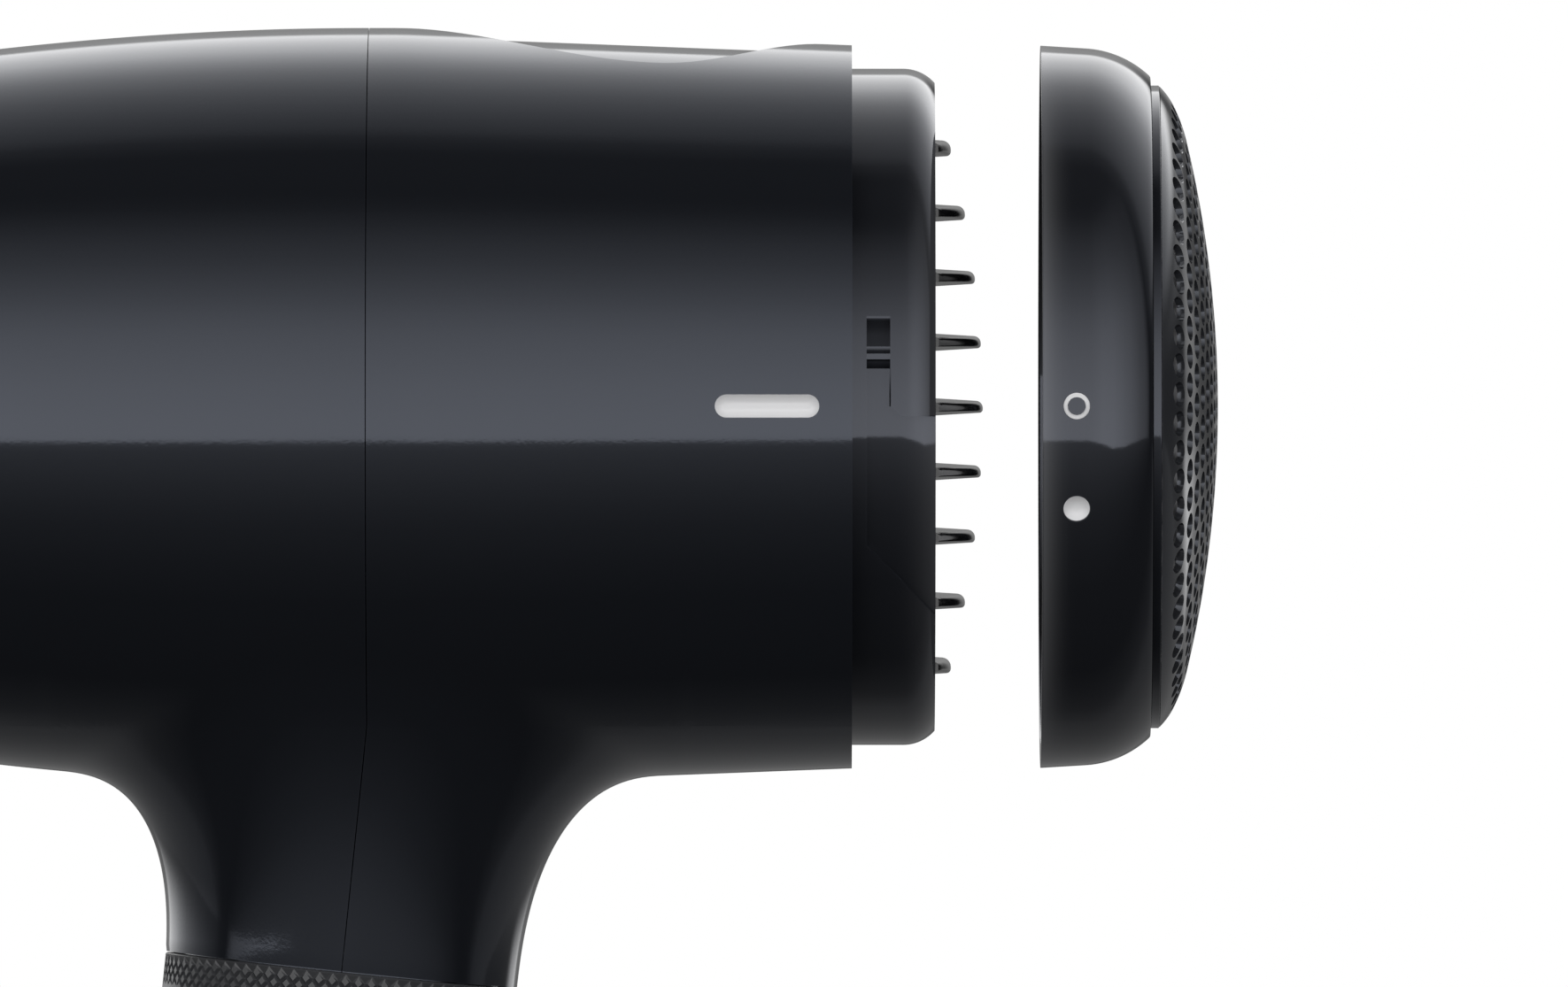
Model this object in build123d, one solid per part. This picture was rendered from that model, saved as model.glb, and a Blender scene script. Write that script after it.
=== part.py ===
from build123d import *
import math
import os

os.makedirs("parts", exist_ok=True)

# A hand-held hair dryer with its rear filter cap pulled off and held behind it, in millimetres.
# The barrel lies along X: the air outlet's front face is at X = 0 and the air enters at the rear (+X).
# Z is up and the handle points down. The marked side, with the lock marks, faces -Y.

# ---- clearances and fits ----
gap = 0.3                 # between pieces that move past each other
running_fit = 0.04        # radial, shaft in its bearings
seam_gap = 0.3            # width of the dark line between the two housing halves

# ---- barrel ----
seam_x = 105.0            # plane where the front and rear halves of the housing meet
barrel_r = 42.8           # largest radius, at the seam
nose_x = 14.0             # front end of the front half
nose_r = 32.0
rim_x = seam_x + 54.7     # rear edge of the rear half
rim_r = barrel_r - 1.95
wall = 2.4
shoulder_length = 4.0     # length at the full radius before the rear half starts to taper

# ---- outlet ----
outlet_r = 27.5           # round seat that nozzles and diffusers slide over
outlet_length = 13.0
outlet_bore_r = 25.6
grille_x = 8.0            # recess of the grille behind the outlet's face
grille_depth = 2.0
grille_shoulder = 0.8
grille_bars = 4
grille_spokes = 6
bar_width = 1.2
outlet_spigot = 8.0

# ---- handle ----
handle_tilt = 6.0         # degrees, bottom towards the outlet
handle_bend_z = -36.0     # height where the seam turns from the vertical on to the handle's axis
handle_r = 19.9
handle_blend_r = 15.3     # hollow curve between the barrel and the handle
handle_length = 150.0     # along the handle's axis, from the barrel's axis
sleeve_length = 86.0
sleeve_start = handle_length - sleeve_length
sleeve_r = 20.0
core_r = 18.2             # housing under the grip sleeve
handle_cavity_r = 16.2

# ---- scoop in the top of the rear half ----
scoop_start = 4.5         # behind the seam
scoop_end = 51.5
scoop_depth = 1.0
scoop_half_width = 15.5
scoop_ramp = 5.0

# ---- heater ----
liner_r = 26.2
liner_wall = 0.8
liner_seat = 6.0          # length held at each end
board_thickness = 0.8
board_margin = 2.0        # from the liner's front end to the boards
coil_turns = 5
coil_pitch = 9.0
coil_width = 1.2
coil_thickness = 0.5
coil_inset = 5.0          # from the liner's wall to the coil
thermostat_length = 10.0
thermostat_width = 7.0
thermostat_height = 3.5
thermostat_can_r = 2.6
thermostat_can = 1.1      # height of its round top
fuse_length = 9.0
fuse_r = 1.6

# ---- fan duct, motor and fan ----
duct_setback = 1.2        # inside the collar's radius
duct_wall = 1.6
duct_cone_length = 16.0
duct_flange = 2.0
seat_stop = 1.5           # step in the rear half that the flange rests on
motor_r = 13.0
motor_length = 28.0
motor_boss_r = 4.4
motor_boss_length = 1.6
damper_thickness = 2.2
damper_width = 4.0
cradle_wall = 1.4
cradle_lip = 2.0
stator_vanes = 7
stator_length = 12.0
stator_thickness = 1.4
stator_lean = 18.0        # degrees
bearing_r = 3.0
bearing_length = 2.5
shaft_r = 1.0
fan_clearance = 1.0
fan_setback = 6.0         # in front of the duct's rear end
duct_cone_reach = 11.0    # how far the duct's cone runs past the motor's front
fan_hub_r = 14.0
fan_hub_length = 14.0
fan_blades = 8
blade_thickness = 1.5
blade_chord = 15.0
blade_root_angle = 38.0   # degrees from the plane of the fan
blade_tip_angle = 24.0
fan_to_motor = 3.0
nut_across = 5.0
nut_height = 2.5

# ---- bayonet collar at the rear of the barrel ----
collar_r = rim_r - 2.65
collar_depth = 10.0       # inside the rear half
collar_length = 9.35      # behind the rear half
collar_end_r = collar_r - 1.6
collar_round_length = 3.55
collar_bore_r = collar_r - 2.6    # seat of the louvre
track_floor_r = collar_r - 1.1
pocket_floor_r = collar_r - 1.8
ridge_r = track_floor_r + 0.15
duct_r = collar_r - duct_setback
track_x = 1.6             # front wall of the track, behind the rear half's edge
track_width = 2.65
pocket_top = 10.15        # heights on the marked side
pocket_bottom = 4.25
ridge_top = 5.85
ridge_bottom = 5.25

# ---- intake louvre ----
slats = 9
slat_pitch = 7.3
slat_root = 1.9
slat_tip = 1.3
louvre_rise = 5.45        # of the domed rear edges of the slats, behind the collar
louvre_dome_r = 120.0
louvre_depth = 9.05       # from the louvre's front to the collar's rear face
louvre_rim = 2.2
louvre_rim_depth = 3.5
louvre_rib_y = 12.0

# ---- filter cap, drawn where it is held, pulled straight back ----
cap_travel = 21.0
cap_r = collar_r + 2.6
cap_mid_r = cap_r - 0.3
cap_mid = 5.0             # lengths along the cap from its front edge
cap_curve = 12.4
cap_end_r = cap_r - 3.5
cap_bore_depth = 10.2
cap_flange_r = cap_end_r - 2.7
lug_setback = 1.55        # from the cap's front edge
lug_width = 2.1
lug_height = 3.45
lug_unlocked = -5.0       # degrees above the horizontal on the marked side
lug_clearance = 0.1       # above the ridge

# ---- mesh dome and its bezel ----
bezel_r = cap_end_r - 0.95
bezel_depth = 1.0
bezel_lip = 1.65
dome_rim_r = bezel_r - 0.15
dome_curve_r = 118.0
dome_knee_r = dome_rim_r - 2.3    # where the shallow dome turns into its tighter edge
dome_edge_rise = 1.67562  # of that edge, above the bezel
dome_rise = dome_edge_rise + dome_curve_r - math.sqrt(dome_curve_r**2 - dome_knee_r**2)
dome_wall = 0.8
hole_r = 1.35
hole_sides = 6
hole_pitch = 3.6          # between rings of holes
hole_gap_pitch = 3.5      # along each ring
hole_rings = 9
hole_turn = 1.0           # degrees

# ---- filter behind the mesh ----
filter_r = cap_flange_r - 3.2
filter_frame_depth = 2.5
filter_setback = 0.7      # behind the front of the cap's flange
filter_rise = 5.2
filter_wall = 0.6
filter_rim = 1.0          # straight part of the screen inside the frame

# ---- lock marks ----
lock_turn = 16.5          # degrees between the open and the locked mark
mark_depth = 0.6
mark_sink = 0.08
pill_x = 39.3             # behind the seam
pill_length = 11.7
pill_height = 2.6
ring_mark_r = 1.5
ring_mark_bore_r = 0.98
cap_mark_x = 3.82         # from the cap's front edge

# ---- controls in the front of the handle, measured along its axis ----
panel_start = sleeve_start + 4.0
panel_length = 62.0
panel_half_width = 8.0
window_half_width = 6.5
window_margin = 2.0
button_at = panel_start + 10.0
button_r = 4.85
button_rise = 1.6
button_travel = 1.5
button_flange_r = 6.0
button_flange = 1.3
speed_at = button_at + 23.0   # knobs at rest, in their off position
heat_at = speed_at + 22.0
knob_travel = 8.0
knob_half_length = 5.5
knob_half_width = 6.0
knob_rise = 2.2
knob_grooves = 3
stem_half_width = 2.0
stem_half_length = 2.5
stem_flange_half = 4.0
switch_top = 12.0         # distances in front of the handle's axis
board_front = 4.0
board_sheet = 1.6
board_half_width = 9.0
switch_half_width = 6.0
switch_half_length = 5.0  # of the button's switch
post_half_width = 2.0
post_half_length = 1.0
post_setback = 3.0        # from the board's ends
board_end_gap = 4.0       # how far the board runs past the window's lower end
ion_length = 26.0
ion_depth = 11.0
ion_half_width = 6.0
spring_r = 2.7
spring_wire = 0.5
spring_turns = 2.5
spring_seat = 0.05        # clearance at each end
button_stem_r = 1.5

# ---- bottom of the handle ----
end_cap_length = 4.0
end_plug_length = 4.0
gland_r = 6.0
gland_bore_r = 3.8
gland_flange_r = 8.0
gland_length = 6.0        # outside the end cap
clamp_height = 3.2
clamp_half_length = 11.0
clamp_half_width = 5.0
clamp_screw_y = 8.0
screw_r = 1.45
screw_head_r = 2.8
screw_head = 2.0
boss_r = 3.4
boss_root = 0.5           # how far the bosses run into the shells' walls
screw_play = 0.2          # radial, round a screw that passes through
upper_screw_at = sleeve_start + 2.2
lower_screw_at = handle_length - 11.0
screw_reach = 8.0

far = 300.0               # larger than the whole part


# ---- helpers ----
def turned(*corners):
    """A solid of revolution about the barrel's axis, from the (x, radius) corners of its section."""
    outline = Polyline(*[(x, 0, r) for x, r in corners], close=True)
    return revolve(make_face(outline), Axis.X)


def turned_edges(*edges):
    """A solid of revolution about the barrel's axis, from the edges of its section."""
    return revolve(make_face(Wire(edges)), Axis.X)


def ring(x0, x1, inner_r, outer_r):
    return turned((x0, inner_r), (x1, inner_r), (x1, outer_r), (x0, outer_r))


def rod(x0, x1, r):
    return Pos((x0 + x1) / 2, 0, 0) * Rot(0, 90, 0) * Cylinder(r, x1 - x0)


def block(x0, x1, y0, y1, z0, z1):
    return Pos((x0 + x1) / 2, (y0 + y1) / 2, (z0 + z1) / 2) * Box(x1 - x0, y1 - y0, z1 - z0)


def section(x, r):
    """The point at radius r in the upper half of the barrel's section."""
    return (x, 0, r)


# The handle's own frame: x points forwards out of its front, y is across, z runs down its axis.
tilt = math.radians(handle_tilt)
handle_top_x = seam_x - handle_bend_z * math.tan(tilt)
handle_frame = Plane(
    origin=(handle_top_x, 0, 0),
    x_dir=(-math.cos(tilt), 0, math.sin(tilt)),
    z_dir=(-math.sin(tilt), 0, -math.cos(tilt)),
)


def on_handle(shape):
    return handle_frame.location * shape


def grip_tube(s0, s1, inner_r, outer_r):
    """A round tube about the handle's axis, in the handle's frame."""
    tube = Pos(0, 0, (s0 + s1) / 2) * Cylinder(outer_r, s1 - s0)
    if inner_r > 0:
        tube -= Pos(0, 0, (s0 + s1) / 2) * Cylinder(inner_r, s1 - s0 + 1)
    return tube


def grip_pin(x0, x1, s, r, y=0):
    """A round pin that points forwards, in the handle's frame."""
    return Pos((x0 + x1) / 2, y, s) * Rot(0, 90, 0) * Cylinder(r, x1 - x0)


# ---- housing ----
shoulder_x = seam_x + shoulder_length
taper = (barrel_r - rim_r) / (rim_x - shoulder_x)


def barrel_outline(inset, overrun):
    """The edges of the barrel's section, drawn inset from its surface and run past both ends."""
    nose = section(nose_x, nose_r - inset)
    crown = section(seam_x, barrel_r - inset)
    shoulder = section(shoulder_x, barrel_r - inset)
    rim = section(rim_x + overrun, rim_r - inset - taper * overrun)
    start = section(nose_x - overrun, nose_r - inset)
    end = section(rim_x + overrun, 0)
    edges = []
    if overrun > 0:
        edges.append(Line(start, nose))
    nose_slope = (barrel_r - nose_r) / (seam_x - nose_x)
    edges.append(Spline(nose, crown, tangents=[(1, 0, 1.9 * nose_slope), (1, 0, 0)]))
    edges.append(Line(crown, shoulder))
    edges.append(Line(shoulder, rim))
    edges.append(Line(rim, end))
    edges.append(Line(end, section(nose_x - overrun, 0)))
    edges.append(Line(section(nose_x - overrun, 0), start))
    return edges


def body_form(inset, grip_r, blend_r, overrun):
    """The barrel with the handle blended into it, as one solid form."""
    barrel = turned_edges(*barrel_outline(inset, overrun))
    grip = on_handle(grip_tube(0, handle_length, 0, grip_r))
    form = barrel + grip
    meeting = [
        e
        for e in form.edges()
        if e.geom_type not in (GeomType.LINE, GeomType.CIRCLE)
        and e.center().Z < -0.5 * barrel_r
        and e.center().Z > -1.3 * barrel_r
    ]
    return fillet(meeting, blend_r)


def front_zone(offset):
    """Everything in front of the seam: upright at the barrel, then along the handle's axis."""
    bottom = handle_bend_z - far
    bottom_x = seam_x + (bottom - handle_bend_z) * math.tan(tilt)
    corners = [
        (-far, far),
        (seam_x + offset, far),
        (seam_x + offset, handle_bend_z),
        (bottom_x + offset, bottom),
        (-far, bottom),
    ]
    outline = Polyline(*[(x, -far, z) for x, z in corners], close=True)
    return extrude(make_face(outline), amount=2 * far, dir=(0, 1, 0))


# ---- housing shells ----
outer_form = body_form(0, handle_r, handle_blend_r, 0)
cavity = body_form(wall, handle_cavity_r, handle_blend_r, 10)
lip_form = body_form(wall / 2, (handle_cavity_r + handle_r) / 2, handle_blend_r, 10)
half_seam = seam_gap / 2
board_back = board_front - board_sheet

cradle_r = motor_r + damper_thickness
duct_end_x = rim_x - collar_depth
duct_flange_x = duct_end_x - duct_flange
fan_x = duct_end_x - fan_setback - fan_hub_length
motor_x1 = fan_x - fan_to_motor
motor_x0 = motor_x1 - motor_length
duct_cone_x = motor_x0 + duct_cone_reach - duct_cone_length
liner_x0 = nose_x + outlet_spigot - liner_seat
liner_x1 = duct_cone_x
panel_end = panel_start + panel_length
window_start = panel_start + window_margin
window_end = panel_end - window_margin
board_s0 = window_start + 1.0
board_s1 = window_end + board_end_gap
post_root_x = math.sqrt(handle_cavity_r**2 - board_half_width**2) + boss_root
mark_y = -far


def near(x, z):
    """A point on the marked side, well outside the part."""
    return (x, mark_y, z)


def marked_prism(outline):
    """A prism that runs from outside the marked side in to the barrel's axis."""
    return extrude(outline, amount=far, dir=(0, 1, 0))


def pill_outline():
    centre = seam_x + pill_x + pill_length / 2
    plane = Plane(origin=near(centre, 0), x_dir=(1, 0, 0), z_dir=(0, -1, 0))
    return plane * SlotOverall(pill_length, pill_height)


def barrel_inside(inset):
    return turned_edges(*barrel_outline(inset, 10))


def scoop_tool():
    """What the long shallow recess in the top of the rear half removes."""
    x0 = seam_x + scoop_start
    x1 = seam_x + scoop_end
    r0 = barrel_r - taper * (x0 - shoulder_x)
    r1 = rim_r + taper * (rim_x - x1)
    a = x0 + scoop_ramp
    b = x1 - scoop_ramp
    ra = barrel_r - taper * (a - shoulder_x) - scoop_depth
    rb = rim_r + taper * (rim_x - b) - scoop_depth
    floor = turned_edges(
        Spline(section(x0, r0), section(a, ra), tangents=[(1, 0, -taper), (1, 0, -taper)]),
        Line(section(a, ra), section(b, rb)),
        Spline(section(b, rb), section(x1, r1), tangents=[(1, 0, -taper), (1, 0, -taper)]),
        Line(section(x1, r1), section(x1, 0)),
        Line(section(x1, 0), section(x0, 0)),
        Line(section(x0, 0), section(x0, r0)),
    )
    middle = x0 + 0.6 * (x1 - x0)
    side = Spline(
        (x0, 0, 0), (middle, scoop_half_width, 0), (x1, 0, 0),
        tangents=[(1, 0.75, 0), (1, -0.95, 0)],
    )
    outline = make_face(Wire([side, side.mirror(Plane.XZ)]))
    return extrude(outline, amount=far, dir=(0, 0, 1)) - floor


def rim_seats():
    """The stepped seat inside the rear half that holds the duct and the collar."""
    seat_r = rim_r - wall / 2
    seat = ring(duct_flange_x, rim_x, collar_r, seat_r)
    stop = ring(duct_flange_x - seat_stop, duct_flange_x, duct_r + gap, seat_r)
    return seat + stop


def screw_boss(s, x0, x1, hole_r):
    return grip_pin(x0, x1, s, boss_r) - grip_pin(x0 - 1, x1 + 1, s, hole_r)


def handle_core(shell):
    """Cuts the step for the grip sleeve round the lower handle."""
    step = grip_tube(sleeve_start, handle_length + 20, core_r, handle_r + 20)
    return shell - on_handle(step)


def make_front_shell():
    shell = (outer_form - cavity) & front_zone(-half_seam)
    lip = (lip_form - cavity) & (front_zone(half_seam) - front_zone(-half_seam))
    shell = handle_core(shell + (lip & body_form(0.01, core_r, handle_blend_r, 0)))
    window = block(0, sleeve_r + 5, -window_half_width, window_half_width, window_start, window_end)
    shell -= on_handle(window)
    for s in (upper_screw_at, lower_screw_at):
        shell += on_handle(screw_boss(s, half_seam, handle_cavity_r + boss_root, screw_r))
    return shell


def make_rear_shell():
    shell = (outer_form - cavity) - front_zone(half_seam)
    shell = handle_core(shell) + rim_seats()
    shell -= scoop_tool()
    shell -= marked_prism(pill_outline()) - barrel_inside(mark_depth)
    screw_back = -sleeve_r - boss_r
    for s in (upper_screw_at, lower_screw_at):
        shell += on_handle(screw_boss(s, -handle_cavity_r - boss_root, half_seam, screw_r + screw_play))
        head = grip_pin(screw_back, screw_reach - core_r, s, screw_head_r + screw_play)
        shank = grip_pin(screw_back, 0, s, screw_r + screw_play)
        shell -= on_handle(head + shank)
    post_y = board_half_width - post_half_width
    for s in (board_s0 + post_setback, board_s1 - post_setback):
        for y in (-post_y, post_y):
            post = block(-post_root_x, board_back, y - post_half_width, y + post_half_width,
                         s - post_half_length, s + post_half_length)
            shell += on_handle(post)
    return shell


def make_index_mark():
    prism = marked_prism(pill_outline())
    return (prism & barrel_inside(mark_sink)) - barrel_inside(mark_depth)


# ---- outlet ----
grille_r = outlet_bore_r
outlet_inner_r = outlet_bore_r - grille_shoulder
spigot_r = nose_r - wall


def make_outlet_ring():
    stop_x = grille_x + grille_depth
    return turned(
        (0, outlet_bore_r), (stop_x, outlet_bore_r), (stop_x, outlet_inner_r),
        (liner_x0, outlet_inner_r), (liner_x0, liner_r), (nose_x + outlet_spigot, liner_r),
        (nose_x + outlet_spigot, spigot_r), (nose_x, spigot_r), (nose_x, nose_r),
        (outlet_length, nose_r), (outlet_length, outlet_r), (0, outlet_r),
    )


def make_outlet_grille():
    x0, x1 = grille_x, grille_x + grille_depth
    step = grille_r / (grille_bars + 0.5)
    grille = rod(x0, x1, step / 2 + bar_width / 2)
    for i in range(1, grille_bars + 1):
        middle = step * (i + 0.5) - bar_width / 2
        grille += ring(x0, x1, middle - bar_width / 2, middle + bar_width / 2)
    for i in range(grille_spokes):
        spoke = block(x0, x1, -bar_width / 2, bar_width / 2, step / 2, grille_r - bar_width / 2)
        grille += Rot(360 / grille_spokes * i, 0, 0) * spoke
    return grille


# ---- heater ----
liner_bore_r = liner_r - liner_wall
board_x0 = liner_x0 + board_margin
board_x1 = liner_x1 - board_margin
board_tab = liner_bore_r - 0.1
coil_r = liner_bore_r - coil_inset
board_waist = coil_r - coil_thickness / 2 - 0.1


def make_liner():
    return ring(liner_x0, liner_x1, liner_bore_r, liner_r)


def heater_board(slot_x0, slot_x1):
    """A board across the liner, wide at its ends and narrow where the wire is wound on it."""
    half = board_thickness / 2
    board = block(board_x0, board_x1, -half, half, -board_waist, board_waist)
    for x in (board_x0, board_x1 - liner_seat):
        board += block(x, x + liner_seat, -half, half, -board_tab, board_tab)
    slot = half + 0.05
    return board - block(slot_x0, slot_x1, -slot, slot, -slot, slot)


def make_heater_upright():
    return heater_board((board_x0 + board_x1) / 2, board_x1 + 1)


def make_heater_flat():
    return Rot(90, 0, 0) * heater_board(board_x0 - 1, (board_x0 + board_x1) / 2)


def make_heating_coil():
    height = coil_turns * coil_pitch
    start = (board_x0 + board_x1 - height) / 2
    path = Helix(coil_pitch, height, coil_r, center=(start, 0, 0), direction=(1, 0, 0))
    plane = Plane(origin=path @ 0, x_dir=(1, 0, 0), z_dir=path % 0)
    return sweep(plane * Rectangle(coil_width, coil_thickness), path=path, is_frenet=True)


def make_thermostat():
    z = board_thickness / 2
    x1 = board_x1 - liner_seat - 2
    y = board_waist / 2
    body = block(x1 - thermostat_length, x1, y - thermostat_width / 2, y + thermostat_width / 2,
                 z, z + thermostat_height)
    can = Cylinder(thermostat_can_r, 2 * thermostat_can)
    can = Pos(x1 - thermostat_length / 2, y, z + thermostat_height) * can
    return body + can


def make_thermal_fuse():
    x1 = board_x1 - liner_seat - 2
    fuse = rod(x1 - fuse_length, x1, fuse_r)
    return Pos(0, -board_waist / 2, board_thickness / 2 + fuse_r) * fuse


# ---- fan duct, motor and fan ----
duct_bore_r = duct_r - duct_wall
cone_x1 = duct_cone_x + duct_cone_length


def make_fan_duct():
    shell = turned(
        (liner_x1 - liner_seat, liner_r), (liner_x1, liner_r), (liner_x1, liner_bore_r),
        (cone_x1, duct_bore_r), (duct_end_x, duct_bore_r), (duct_end_x, collar_r),
        (duct_flange_x, collar_r), (duct_flange_x, duct_r), (cone_x1, duct_r),
        (liner_x1, liner_r + duct_wall), (liner_x1 - liner_seat, liner_r + duct_wall),
    )
    shell += ring(motor_x0, motor_x1, cradle_r, cradle_r + cradle_wall)
    shell += ring(motor_x0 - cradle_lip, motor_x0, motor_boss_r + 3, cradle_r + cradle_wall)
    vane_x = motor_x0 + motor_length / 2
    for i in range(stator_vanes):
        vane = block(-stator_length / 2, stator_length / 2, -stator_thickness / 2,
                     stator_thickness / 2, cradle_r + 0.3, duct_bore_r + 0.5)
        shell += Rot(360 / stator_vanes * i, 0, 0) * Pos(vane_x, 0, 0) * Rot(0, 0, stator_lean) * vane
    return shell


def make_motor_body():
    can = rod(motor_x0, motor_x1, motor_r)
    can += rod(motor_x0 - motor_boss_length, motor_x1 + motor_boss_length, motor_boss_r)
    can -= rod(motor_x0 - far, motor_x1 + far, shaft_r + 0.6)
    for x in (motor_x0 - motor_boss_length, motor_x1 + motor_boss_length - bearing_length):
        can -= rod(x, x + bearing_length, bearing_r)
    return can


def make_bearing(x):
    return ring(x, x + bearing_length, shaft_r + running_fit, bearing_r)


def make_damper(x):
    return ring(x, x + damper_width, motor_r, cradle_r)


fan_tip_r = duct_bore_r - fan_clearance
shaft_x0 = motor_x0 - motor_boss_length - 2
shaft_x1 = fan_x + fan_hub_length + nut_height + 1


def make_fan_blade():
    """A twisted blade: coarse at the hub and flat at its tip, longer than the fan until it is trimmed."""
    sections = []
    for r, angle in ((fan_hub_r - 3, blade_root_angle), (fan_tip_r + 2, blade_tip_angle)):
        plane = Plane(origin=(0, 0, r), x_dir=(1, 0, 0), z_dir=(0, 0, 1))
        blade = Rot(0, 0, 90 - angle) * Rectangle(blade_chord, blade_thickness)
        sections.append(plane * blade)
    return loft(sections)


def make_fan():
    dome = Spline(
        section(fan_x + fan_hub_length, fan_hub_r * 0.55), section(fan_x + fan_hub_length * 0.55, fan_hub_r),
        tangents=[(-0.2, 0, 1), (-1, 0, 0)],
    )
    hub = turned_edges(
        dome,
        Line(section(fan_x + fan_hub_length * 0.55, fan_hub_r), section(fan_x, fan_hub_r)),
        Line(section(fan_x, fan_hub_r), section(fan_x, shaft_r)),
        Line(section(fan_x, shaft_r), section(fan_x + fan_hub_length, shaft_r)),
        Line(section(fan_x + fan_hub_length, shaft_r), section(fan_x + fan_hub_length, fan_hub_r * 0.55)),
    )
    blade = Pos(fan_x + fan_hub_length * 0.45, 0, 0) * make_fan_blade()
    blade &= ring(fan_x - 5, fan_x + fan_hub_length + 5, fan_hub_r - 1.5, fan_tip_r)
    blade &= rod(fan_x + 0.5, fan_x + fan_hub_length, fan_tip_r + 1)
    for i in range(fan_blades):
        hub += Rot(360 / fan_blades * i, 0, 0) * blade
    return hub


def make_shaft():
    return rod(shaft_x0, shaft_x1, shaft_r)


def make_fan_nut():
    x = fan_x + fan_hub_length
    plane = Plane(origin=(x, 0, 0), x_dir=(0, 1, 0), z_dir=(1, 0, 0))
    nut = extrude(plane * RegularPolygon(nut_across / 2, 6, major_radius=False), amount=nut_height)
    return nut - rod(x - 1, x + nut_height + 1, shaft_r)


# ---- bayonet collar and louvre ----
collar_x0 = rim_x - collar_depth
collar_x1 = rim_x + collar_length
louvre_x = collar_x1 - louvre_depth


def collar_track():
    """The track that one lug of the filter cap runs in: a wide mouth, a slot and a deeper pocket."""
    x0 = rim_x + track_x
    x1 = x0 + track_width
    end = collar_x1 + 1
    outline = Polyline(
        near(x0, pocket_bottom), near(x1, pocket_bottom), near(x1, 0), near(x1 + 1.2, -1.15),
        near(end, -1.15), near(end, -23.8), near(x0 + 5.8, -21.2), near(x0, -15.6), close=True,
    )
    track = marked_prism(make_face(outline)) - rod(x0 - 5, end + 5, track_floor_r)
    pocket = block(x0, x1, mark_y, 0, pocket_bottom, pocket_top)
    ridge = block(x0, x1, mark_y, 0, ridge_bottom, ridge_top) & rod(x0, x1, ridge_r)
    return track + (pocket - rod(x0 - 1, x1 + 1, pocket_floor_r) - ridge)


def make_collar():
    round_x = collar_x1 - collar_round_length
    outer = turned_edges(
        Line(section(collar_x0, 0), section(collar_x0, collar_r)),
        Line(section(collar_x0, collar_r), section(round_x, collar_r)),
        TangentArc(section(round_x, collar_r), section(collar_x1, collar_end_r), tangent=(1, 0, 0)),
        Line(section(collar_x1, collar_end_r), section(collar_x1, 0)),
        Line(section(collar_x1, 0), section(collar_x0, 0)),
    )
    collar = outer - rod(louvre_x, collar_x1 + 1, collar_bore_r)
    collar -= rod(collar_x0 - 1, louvre_x + 1, collar_bore_r - louvre_rim / 2)
    track = collar_track()
    return collar - track - Rot(180, 0, 0) * track


def make_louvre():
    tip_x = collar_x1 + louvre_rise
    edge_x = tip_x - collar_bore_r**2 / (2 * louvre_dome_r)
    dome = turned_edges(
        Line(section(louvre_x, 0), section(louvre_x, collar_bore_r)),
        Line(section(louvre_x, collar_bore_r), section(edge_x, collar_bore_r)),
        TangentArc(section(tip_x, 0), section(edge_x, collar_bore_r), tangent=(0, 0, 1)),
        Line(section(tip_x, 0), section(louvre_x, 0)),
    )
    outline = make_face(Polyline(
        (louvre_x, -far, -slat_root / 2), (tip_x, -far, -slat_tip / 2),
        (tip_x, -far, slat_tip / 2), (louvre_x, -far, slat_root / 2), close=True,
    ))
    slat = extrude(outline, amount=2 * far, dir=(0, 1, 0))
    louvre = ring(louvre_x, louvre_x + louvre_rim_depth, collar_bore_r - louvre_rim, collar_bore_r)
    for i in range(slats):
        louvre += Pos(0, 0, slat_pitch * (i - (slats - 1) / 2)) * slat & dome
    for y in (-louvre_rib_y, louvre_rib_y):
        rib = block(louvre_x, louvre_x + louvre_rim_depth, y - bar_width / 2, y + bar_width / 2, -far, far)
        louvre += rib & dome
    return louvre


# ---- filter cap ----
cap_x = rim_x + gap + cap_travel
cap_bore_r = collar_r + 0.4
cap_flange_x = cap_x + cap_bore_depth
cap_end_x = cap_x + cap_curve
bezel_x1 = cap_end_x + bezel_depth
lug_tip_r = ridge_r + lug_clearance


def cap_outside(inset):
    return turned_edges(
        Line(section(cap_x, 0), section(cap_x, cap_r - inset)),
        Line(section(cap_x, cap_r - inset), section(cap_x + cap_mid, cap_mid_r - inset)),
        TangentArc(section(cap_x + cap_mid, cap_mid_r - inset), section(cap_end_x, cap_end_r - inset),
                   tangent=(1, 0, -0.05)),
        Line(section(cap_end_x, cap_end_r - inset), section(cap_end_x, 0)),
        Line(section(cap_end_x, 0), section(cap_x, 0)),
    )


def make_lug():
    x0 = cap_x + lug_setback
    x1 = x0 + lug_width
    lug = ring(x0, x1, lug_tip_r, cap_bore_r + 0.2)
    lug &= block(x0, x1, -far, 0, -lug_height / 2, lug_height / 2)
    return Rot(-lug_unlocked, 0, 0) * lug


def ring_mark_tool(inner_r, outer_r, angle):
    plane = Plane(origin=near(cap_x + cap_mark_x, 0), x_dir=(1, 0, 0), z_dir=(0, -1, 0))
    outline = plane * Circle(outer_r)
    if inner_r > 0:
        outline -= plane * Circle(inner_r)
    return Rot(-angle, 0, 0) * marked_prism(outline)


unlock_tool = ring_mark_tool(ring_mark_bore_r, ring_mark_r, 0)
lock_tool = ring_mark_tool(0, ring_mark_r, -lock_turn)


def make_cap_ring():
    cap = cap_outside(0) - rod(cap_x - 1, cap_flange_x, cap_bore_r)
    cap -= rod(cap_flange_x - 1, cap_end_x + 1, cap_flange_r)
    lug = make_lug()
    cap += lug
    cap += Rot(180, 0, 0) * lug
    core = cap_outside(mark_depth)
    return cap - (unlock_tool - core) - (lock_tool - core)


def make_cap_mark(tool):
    return (tool & cap_outside(mark_sink)) - cap_outside(mark_depth)


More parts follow.
